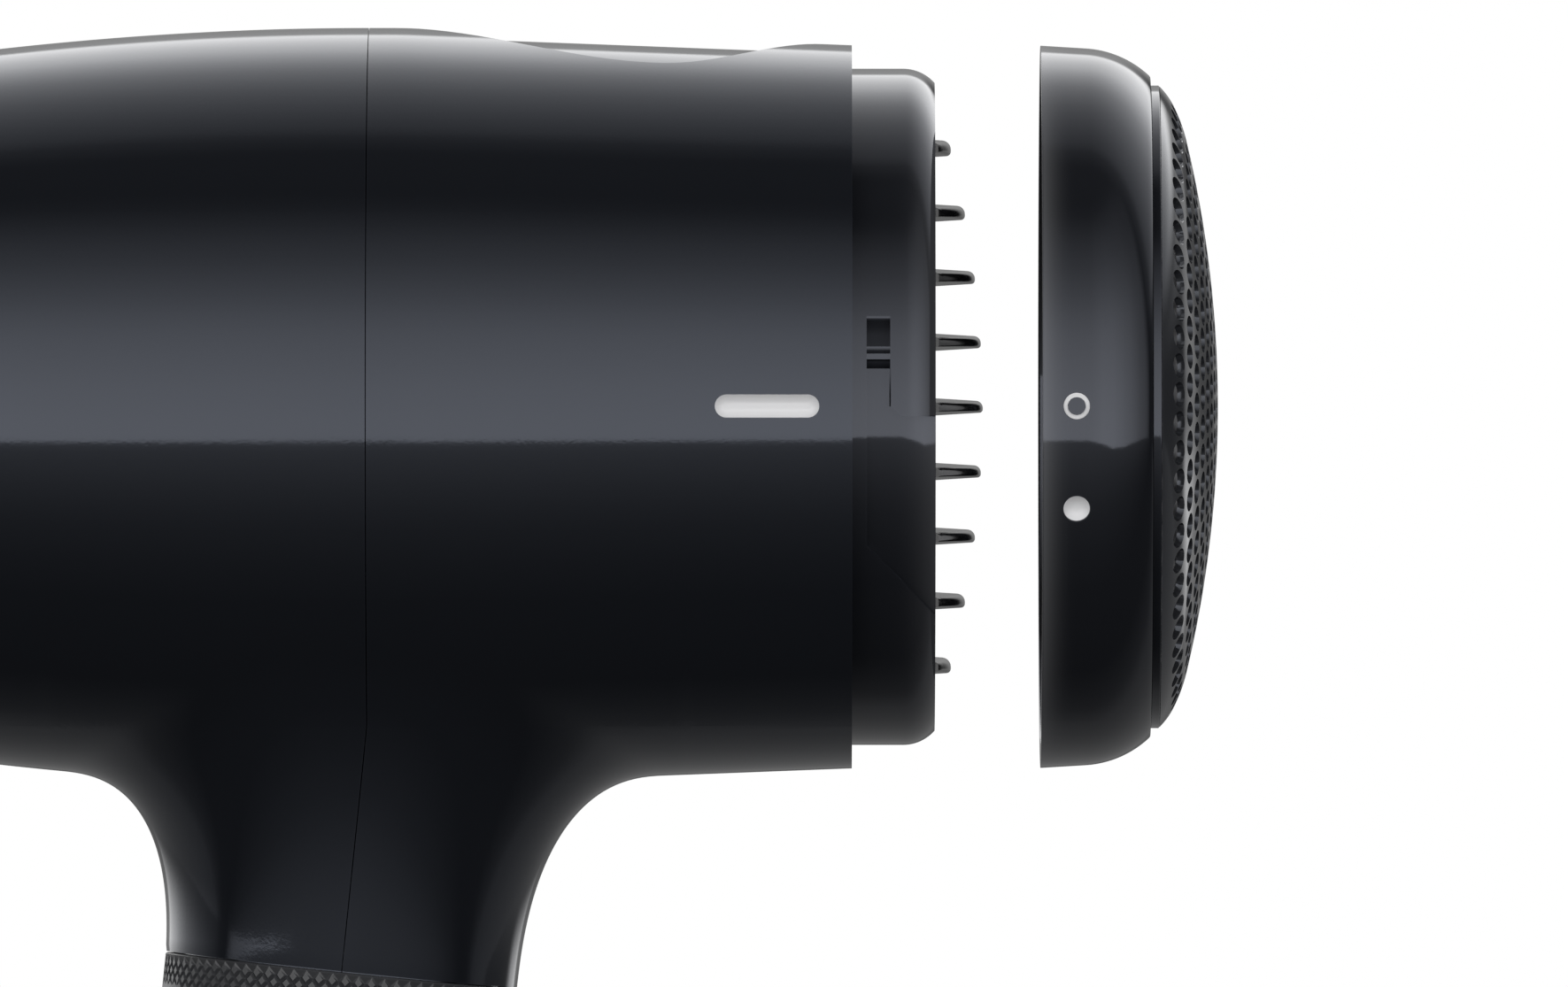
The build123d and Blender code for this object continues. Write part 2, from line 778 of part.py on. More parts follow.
def make_bezel():
    r = bezel_r
    soft = 0.4
    return turned(
        (cap_end_x, r - bezel_lip), (bezel_x1, r - bezel_lip), (bezel_x1, r - soft),
        (bezel_x1 - 0.4 * soft, r - 0.2 * soft), (bezel_x1 - soft, r), (cap_end_x, r),
    )


dome_tip_x = bezel_x1 + dome_rise
dome_ball_x = dome_tip_x - dome_curve_r


def dome_ball(r):
    return Pos(dome_ball_x, 0, 0) * Rot(0, 90, 0) * Sphere(r)


def dome_skirt():
    """The solid edge of the sheet, which turns down to the bezel tighter than the dome does."""
    inner_r = dome_curve_r - dome_wall
    outer_rise = math.sqrt(dome_curve_r**2 - dome_knee_r**2)
    inner_rise = math.sqrt(inner_r**2 - dome_knee_r**2)
    outer_knee = section(dome_ball_x + outer_rise, dome_knee_r)
    inner_knee = section(dome_ball_x + inner_rise, dome_knee_r)
    outer_rim = section(bezel_x1, dome_rim_r)
    inner_rim = section(bezel_x1, dome_rim_r - dome_wall)
    return turned_edges(
        TangentArc(outer_knee, outer_rim, tangent=(-dome_knee_r, 0, outer_rise)),
        Line(outer_rim, inner_rim),
        TangentArc(inner_knee, inner_rim, tangent=(-dome_knee_r, 0, inner_rise)),
        Line(inner_knee, outer_knee),
    )


def make_mesh_dome():
    """A domed metal sheet with rings of round holes, which have flat sides here."""
    holes = []
    corner_r = hole_r * math.sqrt(math.pi / (hole_sides / 2 * math.sin(2 * math.pi / hole_sides)))
    hole = Rot(0, 90, 0) * extrude(RegularPolygon(corner_r, hole_sides), amount=far)
    for i in range(hole_rings + 1):
        r = hole_pitch * i
        count = max(1, round(2 * math.pi * r / hole_gap_pitch))
        for k in range(count):
            holes.append(Rot(hole_turn * i + 360 / count * k, 0, 0) * Pos(cap_x, -r, 0) * hole)
    sheet = dome_ball(dome_curve_r) - dome_ball(dome_curve_r - dome_wall)
    sheet &= rod(cap_x, cap_x + far, dome_knee_r)
    return (sheet - holes) + dome_skirt()


# ---- filter behind the mesh ----
frame_x0 = cap_flange_x + filter_setback
frame_r = cap_flange_r - gap


def make_filter_frame():
    return ring(frame_x0, frame_x0 + filter_frame_depth, filter_r, frame_r)


def make_filter_screen():
    x1 = frame_x0 + filter_frame_depth

    def cup(inset):
        front = x1 - filter_wall - filter_rim
        tip = x1 - filter_wall + filter_rise - inset
        corner = section(tip - filter_rise, filter_r)
        return turned_edges(
            Line(section(front, 0), section(front, filter_r)),
            Line(section(front, filter_r), corner),
            TangentArc(section(tip, 0), corner, tangent=(0, 0, 1)),
            Line(section(tip, 0), section(front, 0)),
        )

    return cup(0) - cup(filter_wall)


# ---- handle pieces, in the handle's own frame until they are placed ----
def make_grip_sleeve():
    sleeve = grip_tube(sleeve_start, handle_length, core_r, sleeve_r)
    sleeve -= block(0, far, -panel_half_width, panel_half_width, panel_start, panel_end)
    return on_handle(sleeve)


def knob_slot(rest, half_width):
    top = rest - knob_travel - stem_half_length - gap
    return block(0, far, -half_width, half_width, top, rest + stem_half_length + gap)


def make_switch_panel():
    panel = grip_tube(panel_start, panel_end, core_r, sleeve_r)
    panel &= block(0, far, -panel_half_width, panel_half_width, panel_start, panel_end)
    for rest in (speed_at, heat_at):
        panel -= knob_slot(rest, stem_half_width + gap)
    return on_handle(panel - grip_pin(0, far, button_at, button_r + gap))


def make_knob(rest):
    x0 = sleeve_r + gap
    x1 = x0 + knob_rise
    pad = grip_tube(rest - knob_half_length, rest + knob_half_length, x0, x1)
    pad &= block(0, far, -knob_half_width, knob_half_width, 0, far)
    for i in range(knob_grooves):
        s = rest + (i - (knob_grooves - 1) / 2) * knob_half_length / 2
        pad -= grip_tube(s - 0.4, s + 0.4, x1 - 0.6, x1 + 1)
    stem = block(switch_top - 1, x0 + 0.5, -stem_half_width, stem_half_width,
                 rest - stem_half_length, rest + stem_half_length)
    flange_x1 = math.sqrt(core_r**2 - stem_flange_half**2) - gap
    flange = block(flange_x1 - 1.2, flange_x1, -stem_flange_half, stem_flange_half,
                   rest - stem_half_length - 1, rest + stem_half_length + 1)
    return on_handle(pad + stem + flange)


flange_x1 = math.sqrt(core_r**2 - button_flange_r**2) - gap


def make_button():
    top = sleeve_r + button_rise
    cap = grip_pin(flange_x1 - 0.1, top, button_at, button_r)
    cap = fillet(cap.edges().group_by(Axis.X)[-1], 0.8)
    flange = grip_pin(flange_x1 - button_flange, flange_x1, button_at, button_flange_r)
    stem = grip_pin(switch_top + gap, flange_x1, button_at, button_stem_r)
    return on_handle(cap + flange + stem)


def make_button_spring():
    height = flange_x1 - button_flange - switch_top - spring_wire - 2 * spring_seat
    path = Helix(height / spring_turns, height, spring_r)
    plane = Plane(origin=path @ 0, x_dir=(0, 0, 1), z_dir=path % 0)
    coil = sweep(plane * Rectangle(spring_wire, spring_wire), path=path, is_frenet=True)
    x0 = switch_top + spring_wire / 2 + spring_seat
    return on_handle(Pos(x0, 0, button_at) * Rot(0, 90, 0) * coil)


def make_switch_body(s0, s1, hole):
    body = block(board_front, switch_top, -switch_half_width, switch_half_width, s0, s1)
    return on_handle(body - hole)


def make_knob_switch(rest):
    top = rest - knob_travel - stem_half_length - gap
    hole = knob_slot(rest, stem_half_width + gap) - block(0, switch_top - 1 - gap, -9, 9, 0, far)
    return make_switch_body(top - 0.9, rest + stem_half_length + gap + 2, hole)


def make_button_switch():
    depth = button_travel + gap
    hole = grip_pin(switch_top - depth, switch_top + 1, button_at, button_stem_r + gap)
    return make_switch_body(button_at - switch_half_length, button_at + switch_half_length, hole)


def make_control_board():
    return on_handle(block(board_back, board_front, -board_half_width, board_half_width, board_s0, board_s1))


def make_ion_module():
    s = (board_s0 + board_s1 + ion_length) / 2
    box = block(board_back - ion_depth, board_back, -ion_half_width, ion_half_width, s - ion_length, s)
    return on_handle(box)


cap_s0 = handle_length
plug_s0 = cap_s0 - end_plug_length
gland_s0 = plug_s0 + 1.0
gland_s1 = cap_s0 + end_cap_length + gland_length


def make_end_cap():
    cap = grip_tube(cap_s0, cap_s0 + end_cap_length, gland_r, sleeve_r)
    cap = chamfer(cap.edges().filter_by(GeomType.CIRCLE).sort_by(Axis.Z)[-2:].sort_by(SortBy.LENGTH)[-1], 1.2)
    cap += grip_tube(plug_s0, cap_s0, gland_r, handle_cavity_r)
    cap += grip_tube(plug_s0, gland_s0, gland_bore_r + gap, gland_r + 1)
    for y in (-clamp_screw_y, clamp_screw_y):
        cap -= Pos(0, y, plug_s0) * Cylinder(screw_r, 2 * end_plug_length)
    return on_handle(cap)


def make_gland():
    gland = grip_tube(gland_s0, gland_s1, gland_bore_r, gland_r)
    flange_s = cap_s0 + end_cap_length
    return on_handle(gland + grip_tube(flange_s, flange_s + 2, gland_bore_r, gland_flange_r))


def make_clamp():
    top = plug_s0 - clamp_height
    bar = block(-clamp_half_width, clamp_half_width, -clamp_half_length, clamp_half_length, top, plug_s0)
    bar -= grip_tube(top - 1, plug_s0 + 1, 0, gland_bore_r)
    for y in (-clamp_screw_y, clamp_screw_y):
        bar -= Pos(0, y, plug_s0) * Cylinder(screw_r + 0.1, 4 * clamp_height)
    return on_handle(bar)


def make_clamp_screw(y):
    top = plug_s0 - clamp_height
    screw = Pos(0, y, top - screw_head / 2) * Cylinder(screw_head_r - 0.4, screw_head)
    length = clamp_height + end_plug_length
    return on_handle(screw + Pos(0, y, top + length / 2) * Cylinder(screw_r, length))


def make_shell_screw(s):
    seat = screw_reach - core_r
    head = grip_pin(seat - screw_head, seat, s, screw_head_r)
    return on_handle(head + grip_pin(seat, screw_reach, s, screw_r))


parts = {
    "front_shell": make_front_shell(),
    "rear_shell": make_rear_shell(),
    "index_mark": make_index_mark(),
    "outlet_ring": make_outlet_ring(),
    "outlet_grille": make_outlet_grille(),
    "heater_liner": make_liner(),
    "heater_board_upright": make_heater_upright(),
    "heater_board_flat": make_heater_flat(),
    "heating_coil": make_heating_coil(),
    "thermostat": make_thermostat(),
    "thermal_fuse": make_thermal_fuse(),
    "fan_duct": make_fan_duct(),
    "motor_body": make_motor_body(),
    "motor_bearing_front": make_bearing(motor_x0 - motor_boss_length),
    "motor_bearing_rear": make_bearing(motor_x1 + motor_boss_length - bearing_length),
    "motor_damper_front": make_damper(motor_x0 + 1),
    "motor_damper_rear": make_damper(motor_x1 - 1 - damper_width),
    "motor_shaft": make_shaft(),
    "fan_impeller": make_fan(),
    "fan_nut": make_fan_nut(),
    "bayonet_collar": make_collar(),
    "intake_louvre": make_louvre(),
    "filter_cap_ring": make_cap_ring(),
    "unlock_mark": make_cap_mark(unlock_tool),
    "lock_mark": make_cap_mark(lock_tool),
    "mesh_bezel": make_bezel(),
    "cap_mesh_dome": make_mesh_dome(),
    "filter_frame": make_filter_frame(),
    "filter_screen": make_filter_screen(),
    "grip_sleeve": make_grip_sleeve(),
    "switch_panel": make_switch_panel(),
    "speed_knob": make_knob(speed_at),
    "heat_knob": make_knob(heat_at),
    "cool_shot_button": make_button(),
    "cool_shot_spring": make_button_spring(),
    "speed_switch": make_knob_switch(speed_at),
    "heat_switch": make_knob_switch(heat_at),
    "cool_shot_switch": make_button_switch(),
    "control_board": make_control_board(),
    "ion_module": make_ion_module(),
    "end_cap": make_end_cap(),
    "cord_gland": make_gland(),
    "cord_clamp": make_clamp(),
    "clamp_screw_left": make_clamp_screw(-clamp_screw_y),
    "clamp_screw_right": make_clamp_screw(clamp_screw_y),
    "shell_screw_upper": make_shell_screw(upper_screw_at),
    "shell_screw_lower": make_shell_screw(lower_screw_at),
}

for name, shape in parts.items():
    export_step(shape, f"parts/{name}.step")
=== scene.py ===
"""A hair dryer with its rear filter cap held behind it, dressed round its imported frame."""
import math
import bmesh
import bpy
from mathutils import Matrix, Vector
from mathutils.bvhtree import BVHTree
from mathutils.interpolate import poly_3d_calc


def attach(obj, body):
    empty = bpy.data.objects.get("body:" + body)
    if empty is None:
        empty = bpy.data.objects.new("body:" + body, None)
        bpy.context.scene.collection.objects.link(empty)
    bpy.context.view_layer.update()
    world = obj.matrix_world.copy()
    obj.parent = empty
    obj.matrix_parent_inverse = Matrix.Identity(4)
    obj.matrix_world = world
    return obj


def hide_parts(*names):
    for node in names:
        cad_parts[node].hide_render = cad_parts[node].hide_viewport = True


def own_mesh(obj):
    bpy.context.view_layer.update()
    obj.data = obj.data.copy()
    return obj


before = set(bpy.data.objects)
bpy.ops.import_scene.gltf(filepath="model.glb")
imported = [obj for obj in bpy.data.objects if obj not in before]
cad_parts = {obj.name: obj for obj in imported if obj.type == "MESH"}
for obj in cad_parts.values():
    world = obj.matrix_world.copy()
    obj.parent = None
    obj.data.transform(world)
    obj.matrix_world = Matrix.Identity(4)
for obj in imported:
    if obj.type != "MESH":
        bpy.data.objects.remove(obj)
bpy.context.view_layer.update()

MM = 0.001


# ---------------- Camera
# A long lens looks level across the barrel at the marked side, from over four metres away.
view_centre = Vector((152.05, 0, -9.79)) * MM
view_width = 177.1 * MM
camera_data = bpy.data.cameras.new("camera")
camera_data.lens = 900
camera_data.sensor_width = 36
camera_distance = view_width * camera_data.lens / camera_data.sensor_width
camera = bpy.data.objects.new("camera", camera_data)
camera.location = view_centre - Vector((0, camera_distance, 0))
camera.rotation_euler = (math.radians(90), 0, 0)
camera_data.clip_end = 100    # metres
bpy.context.scene.collection.objects.link(camera)
bpy.context.scene.camera = camera
bpy.context.scene.view_settings.view_transform = "Standard"


# ---------------- Studio light
# A white studio with one wide softbox on the marked side. Its light changes with the angle round the
# barrel's axis: bright at eye level, dark above the softbox, and white again behind the dryer.
def add_node(tree, kind, **settings):
    """A new shader node of one kind, with its settings."""
    node = tree.nodes.new("ShaderNode" + kind)
    for key, value in settings.items():
        setattr(node, key, value)
    return node


def maths(tree, operation, first, second=0.5, clamp=False):
    """A Math node on two sockets or numbers; gives its output socket."""
    node = add_node(tree, "Math", operation=operation, use_clamp=clamp)
    for socket, value in zip(node.inputs, (first, second)):
        if isinstance(value, (int, float)):
            socket.default_value = value
        else:
            tree.links.new(value, socket)
    return node.outputs[0]


def ramp(tree, factor, stops, interpolation="LINEAR"):
    """A ColorRamp of greys or colours from (position, value) pairs; gives its colour socket."""
    node = add_node(tree, "ValToRGB")
    node.color_ramp.interpolation = interpolation
    elements = node.color_ramp.elements
    while len(elements) < len(stops):
        elements.new(0.5)
    for element, (position, value) in zip(elements, stops):
        element.position = position
        element.color = (*value, 1) if isinstance(value, tuple) else (value, value, value, 1)
    tree.links.new(factor, node.inputs[0])
    return node.outputs[0]


def arctangent(tree, up, across):
    """The angle of (across, up) in degrees, -180 to 180."""
    return maths(tree, "MULTIPLY", maths(tree, "ARCTAN2", up, across), math.degrees(1))


def product(tree, first, *others):
    """Sockets and numbers multiplied together."""
    for other in others:
        first = maths(tree, "MULTIPLY", first, other)
    return first


def rest_of(tree, share):
    """What a share from 0 to 1 leaves of 1."""
    return maths(tree, "SUBTRACT", 1.0, share)


def soft_step(tree, value, start, end):
    """A smooth step from 0 at start to 1 at end."""
    node = add_node(tree, "MapRange", interpolation_type="SMOOTHSTEP")
    node.inputs["From Min"].default_value = start
    node.inputs["From Max"].default_value = end
    tree.links.new(value, node.inputs["Value"])
    return node.outputs[0]


def angle_ramp(tree, angle, table, scale):
    """A ramp by angle from a table of (degrees, level), each level as a share of the scale."""
    factor = maths(tree, "ADD", maths(tree, "DIVIDE", angle, 360.0), 0.5)
    return ramp(tree, factor, [((degrees + 180) / 360, level / scale) for degrees, level in table])


world = bpy.data.worlds.new("studio")
bpy.context.scene.world = world
world.use_nodes = True
sky = world.node_tree
sky.nodes.clear()
direction = add_node(sky, "SeparateXYZ")
sky.links.new(add_node(sky, "TexCoord").outputs["Generated"], direction.inputs[0])
dx, dy, dz = direction.outputs
forward = maths(sky, "MULTIPLY", dy, -1.0)
across = maths(sky, "ABSOLUTE", dx)
climb = arctangent(sky, dz, forward)
height = maths(sky, "MULTIPLY", maths(sky, "ARCSINE", dz), math.degrees(1))
swing = arctangent(sky, across, forward)
away = maths(sky, "MULTIPLY", maths(sky, "ARCCOSINE", forward), math.degrees(1))
brightest, brightest_across = 4.0, 1.1
softbox = angle_ramp(sky, height, (
    (-180, 3.0), (-12, 3.0), (-4, 2.9), (5, 2.7), (16, 2.3), (22, 2.05), (27, 1.75), (33, 1.35), (39, 1.0),
    (45, 0.70), (51, 0.48), (57, 0.25), (63, 0.06), (68, 0), (180, 0),
), brightest)
edge = angle_ramp(sky, swing, (
    (-180, 0), (-90, 0), (0, 0.93), (12, 0.96), (24, 1.06), (36, 1.03), (45, 0.91), (60, 0.66), (70, 0.43),
    (78, 0.30), (84, 0),
), brightest_across)
backdrop = angle_ramp(sky, away, (
    (0, 0.0), (66, 0.0), (84, 0.03), (90, 0.18), (94, 0.42), (103, 0.72), (113, 1.05), (125, 1.6), (140, 2.7),
    (156, 2.9), (158.5, 0.85), (168, 0.5), (180, 0.35),
), brightest)
below = angle_ramp(sky, climb, (
    (-180, 0.30), (-147, 0.28), (-125, 0.22), (-115, 0.12), (-105, 0.07), (-95, 0.02), (-62, 0.0),
    (-50, 0.03), (-38, 0.09), (-32, 0.15), (-25, 0.25), (-16, 0.42), (-11, 0.56), (0, 0.56), (90, 0),
), brightest)

# The softbox ends in a crisp lower edge that sags in its middle. Under it only the floor's glow is left.
lower_edge = ramp(sky, across, (
    (0, 0.183), (0.35, 0.199), (0.58, 0.213), (0.75, 0.190), (0.90, 0.145), (1.0, 0.10)))
in_box = soft_step(sky, maths(sky, "ADD", dz, lower_edge), -0.008, 0.008)
behind = product(sky, soft_step(sky, forward, 0.10, -0.10), rest_of(sky, soft_step(sky, dz, -0.22, -0.05)))
out_of_box = maths(sky, "MAXIMUM", rest_of(sky, in_box), behind)
box_light = product(sky, softbox, edge, brightest_across, in_box)

# Two black cards stand behind the dryer, past its rear end, and the backdrop is lit more on that side.
above = soft_step(sky, dz, -0.20, 0.10)
low_card = product(sky, soft_step(sky, dx, 0.08, 0.25), soft_step(sky, dz, -0.06, 0.0),
                   rest_of(sky, soft_step(sky, dz, 0.22, 0.36)), 0.82)
side_card = product(sky, soft_step(sky, dx, 0.55, 0.68), rest_of(sky, soft_step(sky, dz, 0.08, 0.2)), 0.9)
rear_lift = maths(sky, "ADD", 1.0, product(sky, soft_step(sky, dx, 0.05, 0.6), 0.45))
backdrop = product(sky, backdrop, rest_of(sky, side_card), rear_lift, rest_of(sky, low_card))
room_light = maths(sky, "ADD", product(sky, backdrop, above), product(sky, below, out_of_box))
light = product(sky, maths(sky, "ADD", box_light, room_light), brightest)
room = add_node(sky, "Background")
sky.links.new(light, room.inputs["Strength"])
white = add_node(sky, "Background")
white.inputs["Color"].default_value = (1, 1, 1, 1)
rays = add_node(sky, "LightPath")
mix = add_node(sky, "MixShader")
sky.links.new(rays.outputs["Is Camera Ray"], mix.inputs[0])
sky.links.new(room.outputs[0], mix.inputs[1])
sky.links.new(white.outputs[0], mix.inputs[2])
sky.links.new(mix.outputs[0], add_node(sky, "OutputWorld").inputs[0])


# ---------------- Housing shells
# Two moulded halves in satin graphite plastic meet at a fine seam. The barrel swells from its nose
# and runs into the handle in one soft hollow curve, with a long shallow recess on top behind the seam.
seam_x = 105.0
nose_x, nose_r = 14.0, 32.0
barrel_r, shoulder_x = 42.8, 109.0
rim_x, rim_r = 159.7, 40.85
nose_slope = 1.9 * (barrel_r - nose_r) / (seam_x - nose_x)
tilt = math.radians(6)
bend_z = -36.0
handle_top = Vector((seam_x - bend_z * math.tan(tilt), 0, 0))
down = Vector((-math.sin(tilt), 0, -math.cos(tilt)))
forwards = Vector((-math.cos(tilt), 0, math.sin(tilt)))
handle_r = 19.9
core_skin_r = 18.1
sleeve_start = 64.0
handle_end = 150.0
blend_at_front = (24.0, 14.0, 2.5)
blend_at_side = (20.0, 8.0, 2.5)
side_flare, front_flare = 0.12, 0.18
blend_top_z = -15.0           # above it the skin is the barrel alone
wall = 2.4
core_window = (10.0, 25.0, -6.5, 6.5)
core_window_s0, core_window_s1 = 70.0, 128.0


def on_handle(x, y, s):
    """The point s down the handle's axis, x to the front of it and y across."""
    return handle_top + forwards * x + Vector((0, y, 0)) + down * s


def round_handle(angle, r, s):
    """The point at a radius and an angle round the handle's axis, s down it."""
    return on_handle(r * math.cos(angle), r * math.sin(angle), s)


def barrel_radius(x):
    """Radius of the barrel's outside at x."""
    if x < seam_x:
        t = (x - nose_x) / (seam_x - nose_x)
        span = seam_x - nose_x
        return ((2 * t**3 - 3 * t**2 + 1) * nose_r + (t**3 - 2 * t**2 + t) * span * nose_slope
                + (3 * t**2 - 2 * t**3) * barrel_r)
    if x < shoulder_x:
        return barrel_r
    return barrel_r - (x - shoulder_x) * (barrel_r - rim_r) / (rim_x - shoulder_x)


def outside(p):
    """Zero on the blended skin, positive outside it."""
    from_barrel = math.hypot(p.y, p.z) - barrel_radius(p.x)
    if p.z > blend_top_z:
        return from_barrel
    v = p - handle_top
    along = v.dot(down)
    ahead = v.dot(forwards)
    r2 = max(ahead * ahead + p.y * p.y, 1e-9)
    side = (p.y * p.y / r2) ** 2
    lean = front_flare * max(0.0, ahead) * abs(p.y) * p.y * p.y / (r2 * r2)
    flare = max(0.0, sleeve_start - along) * (side_flare * side + lean)
    on_barrel, on_grip, power = (a + (b - a) * side for a, b in zip(blend_at_front, blend_at_side))
    from_handle = (v - down * along).length - handle_r - flare
    a = max(0.0, (on_barrel - from_barrel) / on_barrel)
    b = max(0.0, (on_grip - from_handle) / on_grip)
    return 1 - (a**power + b**power) ** (1 / power)


def slope(p):
    """The gradient of outside at a point."""
    step = 0.01
    return Vector([
        (outside(p + axis) - outside(p - axis)) / (2 * step)
        for axis in (Vector((step, 0, 0)), Vector((0, step, 0)), Vector((0, 0, step)))
    ])


def settle(p):
    """Moves a point on to the skin."""
    for _ in range(12):
        error = outside(p)
        if abs(error) < 1e-7:
            break
        g = slope(p)
        p = p - g * (error / max(g.length_squared, 1e-9))
    return p


def spaced(start, end, count):
    """Even steps from start to end, with both ends."""
    return [start + (end - start) * i / count for i in range(count + 1)]


# The barrel is a grid of columns along it and rows round it, with a hole left over the handle.
hole_x0, hole_x1, hole_turn = 69.0, 141.0, 58.0
columns = spaced(nose_x, hole_x0, 40) + spaced(hole_x0, hole_x1, 48)[1:] + spaced(hole_x1, rim_x, 14)[1:]
rows = 180
row_step = 360 / rows
skin = bmesh.new()


def barrel_point(x, degrees):
    """Degrees run from straight down, towards the marked side."""
    r = barrel_radius(x)
    return Vector((x, -r * math.sin(math.radians(degrees)), -r * math.cos(math.radians(degrees))))


def from_below(k):
    """Degrees between row k and straight down, on either side."""
    return min(k, rows - k) * row_step


near = 0.01
grid = {}
for i, x in enumerate(columns):
    for k in range(rows):
        in_hole = hole_x0 + near < x < hole_x1 - near and from_below(k) < hole_turn - near
        if not in_hole:
            grid[i, k] = skin.verts.new(barrel_point(x, k * row_step))
for i in range(len(columns) - 1):
    for k in range(rows):
        m = (k + 1) % rows
        corners = [grid.get(key) for key in ((i, k), (i + 1, k), (i + 1, m), (i, m))]
        in_hole = hole_x0 - near < columns[i] < hole_x1 - near and from_below(k + 0.5) < hole_turn
        if None not in corners and not in_hole:
            skin.faces.new(corners)

# From every point of the hole's border a curved line runs down to the handle, settled on the skin, and
# then under the sleeve to the handle's end.
i0 = columns.index(hole_x0)
i1 = columns.index(hole_x1)
k1 = round(hole_turn / row_step)
border = [(i1, k % rows) for k in range(-k1, k1)]
border += [(i, k1) for i in range(i1, i0, -1)]
border += [(i0, k % rows) for k in range(k1, -k1, -1)]
border += [(i, rows - k1) for i in range(i0, i1)]
steps, crowding = 44, 0.85
seat_s = sleeve_start - 0.15
lines = []
for key in border:
    start = grid[key].co.copy()
    rolled_y = -barrel_r * math.atan2(-start.y, -start.z)
    centre_x = (handle_top + down * (barrel_r / math.cos(tilt))).x
    around = math.atan2(rolled_y, centre_x - start.x)
    end = round_handle(around, handle_r, seat_s)
    s = 20.0
    corner = round_handle(around, handle_r, s)
    for _ in range(30):
        s += (barrel_radius(corner.x) - math.hypot(corner.y, corner.z)) * 0.9
        corner = round_handle(around, handle_r, s)
    line = [grid[key]]
    for j in range(1, steps + 1):
        t = (j / steps) ** crowding
        point = start * (1 - t) ** 2 + corner * (2 * t * (1 - t)) + end * t**2
        if j < steps:
            point = settle(point)
        line.append(skin.verts.new(point))
    for s in (seat_s, handle_end):
        line.append(skin.verts.new(round_handle(around, core_skin_r, s)))
    lines.append(line)
for n, line in enumerate(lines):
    following = lines[(n + 1) % len(lines)]
    for j in range(len(line) - 1):
        skin.faces.new((line[j], line[j + 1], following[j + 1], following[j]))
bmesh.ops.recalc_face_normals(skin, faces=skin.faces)
for v in skin.verts:
    v.co *= MM
for f in skin.faces:
    f.smooth = True
skin_mesh = bpy.data.meshes.new("skin")
skin.to_mesh(skin_mesh)
skin.free()

# The seam is a fine line: upright round the barrel, and along the handle's axis below the bend.
half_gap = 0.055
bend = Vector((seam_x + 0.2, 0, bend_z)) * MM
below_bend = Vector((math.cos(tilt), 0, -math.sin(tilt)))


def cut(bm, point, normal, keep_front):
    """Cuts a bmesh with a plane and keeps one side of it."""
    geometry = bm.verts[:] + bm.edges[:] + bm.faces[:]
    bmesh.ops.bisect_plane(bm, geom=geometry, plane_co=point, plane_no=normal,
                           clear_inner=keep_front, clear_outer=not keep_front, dist=1e-7)


def new_piece(name, bm, outward=True):
    """Makes an object of a bmesh, with its faces outwards, and frees the bmesh."""
    if outward:
        bmesh.ops.recalc_face_normals(bm, faces=bm.faces)
    mesh = bpy.data.meshes.new(name)
    bm.to_mesh(mesh)
    bm.free()
    piece = bpy.data.objects.new(name, mesh)
    bpy.context.scene.collection.objects.link(piece)
    return piece


def wall_between(bm, loops):
    """Joins closed loops of as many points with quads."""
    for a, b in zip(loops, loops[1:]):
        for n in range(len(a)):
            m = (n + 1) % len(a)
            bm.faces.new((a[n], a[m], b[m], b[n]))


def half_skin(name, rear):
    """One half of the skin, cut at the seam: upright at the barrel, then along the handle."""
    sign = 1 if rear else -1
    pieces = []
    for below in (False, True):
        bm = bmesh.new()
        bm.from_mesh(skin_mesh)
        normal = below_bend if below else Vector((1, 0, 0))
        cut(bm, Vector((0, 0, bend.z)), Vector((0, 0, 1)), not below)
        cut(bm, bend + normal * (sign * half_gap * MM), normal, rear)
        pieces.append(bm)
    upper, lower = pieces
    spare = bpy.data.meshes.new("spare")
    lower.to_mesh(spare)
    upper.from_mesh(spare)
    bmesh.ops.remove_doubles(upper, verts=upper.verts, dist=2e-6)
    lower.free()
    bpy.data.meshes.remove(spare)
    return new_piece(name, upper, outward=False)


def select_only(piece):
    for other in bpy.context.selected_objects:
        other.select_set(False)
    bpy.context.view_layer.objects.active = piece
    piece.select_set(True)


def apply_modifiers(piece):
    select_only(piece)
    for modifier in list(piece.modifiers):
        bpy.ops.object.modifier_apply(modifier=modifier.name)


def prism(name, outline, place, start, end):
    """A closed prism on an outline; place sets its corners at a depth along x, y or z."""
    bm = bmesh.new()
    ends = [[bm.verts.new(place(corner, depth) * MM) for corner in outline] for depth in (start, end)]
    wall_between(bm, ends)
    for end_loop in ends:
        bm.faces.new(end_loop)
    return new_piece(name, bm)


def box_outline(x0, x1, y0, y1):
    """The four corners of a rectangle."""
    return [(x0, y0), (x1, y0), (x1, y1), (x0, y1)]


def along_x(corner, depth):
    return Vector((depth, corner[0], corner[1]))


def along_y(corner, depth):
    return Vector((corner[0], depth, corner[1]))


def along_z(corner, depth):
    return Vector((corner[0], corner[1], depth))


def boolean(piece, tool, operation="DIFFERENCE"):
    """Cuts or joins a tool into a piece, and removes the tool."""
    cut_step = piece.modifiers.new("cut", "BOOLEAN")
    cut_step.object = tool
    cut_step.operation = operation
    cut_step.solver = "EXACT"
    apply_modifiers(piece)
    bpy.data.objects.remove(tool)
    bm = bmesh.new()
    bm.from_mesh(piece.data)
    bmesh.ops.remove_doubles(bm, verts=bm.verts, dist=1e-6)
    bmesh.ops.dissolve_degenerate(bm, edges=bm.edges, dist=1e-7)
    bm.to_mesh(piece.data)
    bm.free()


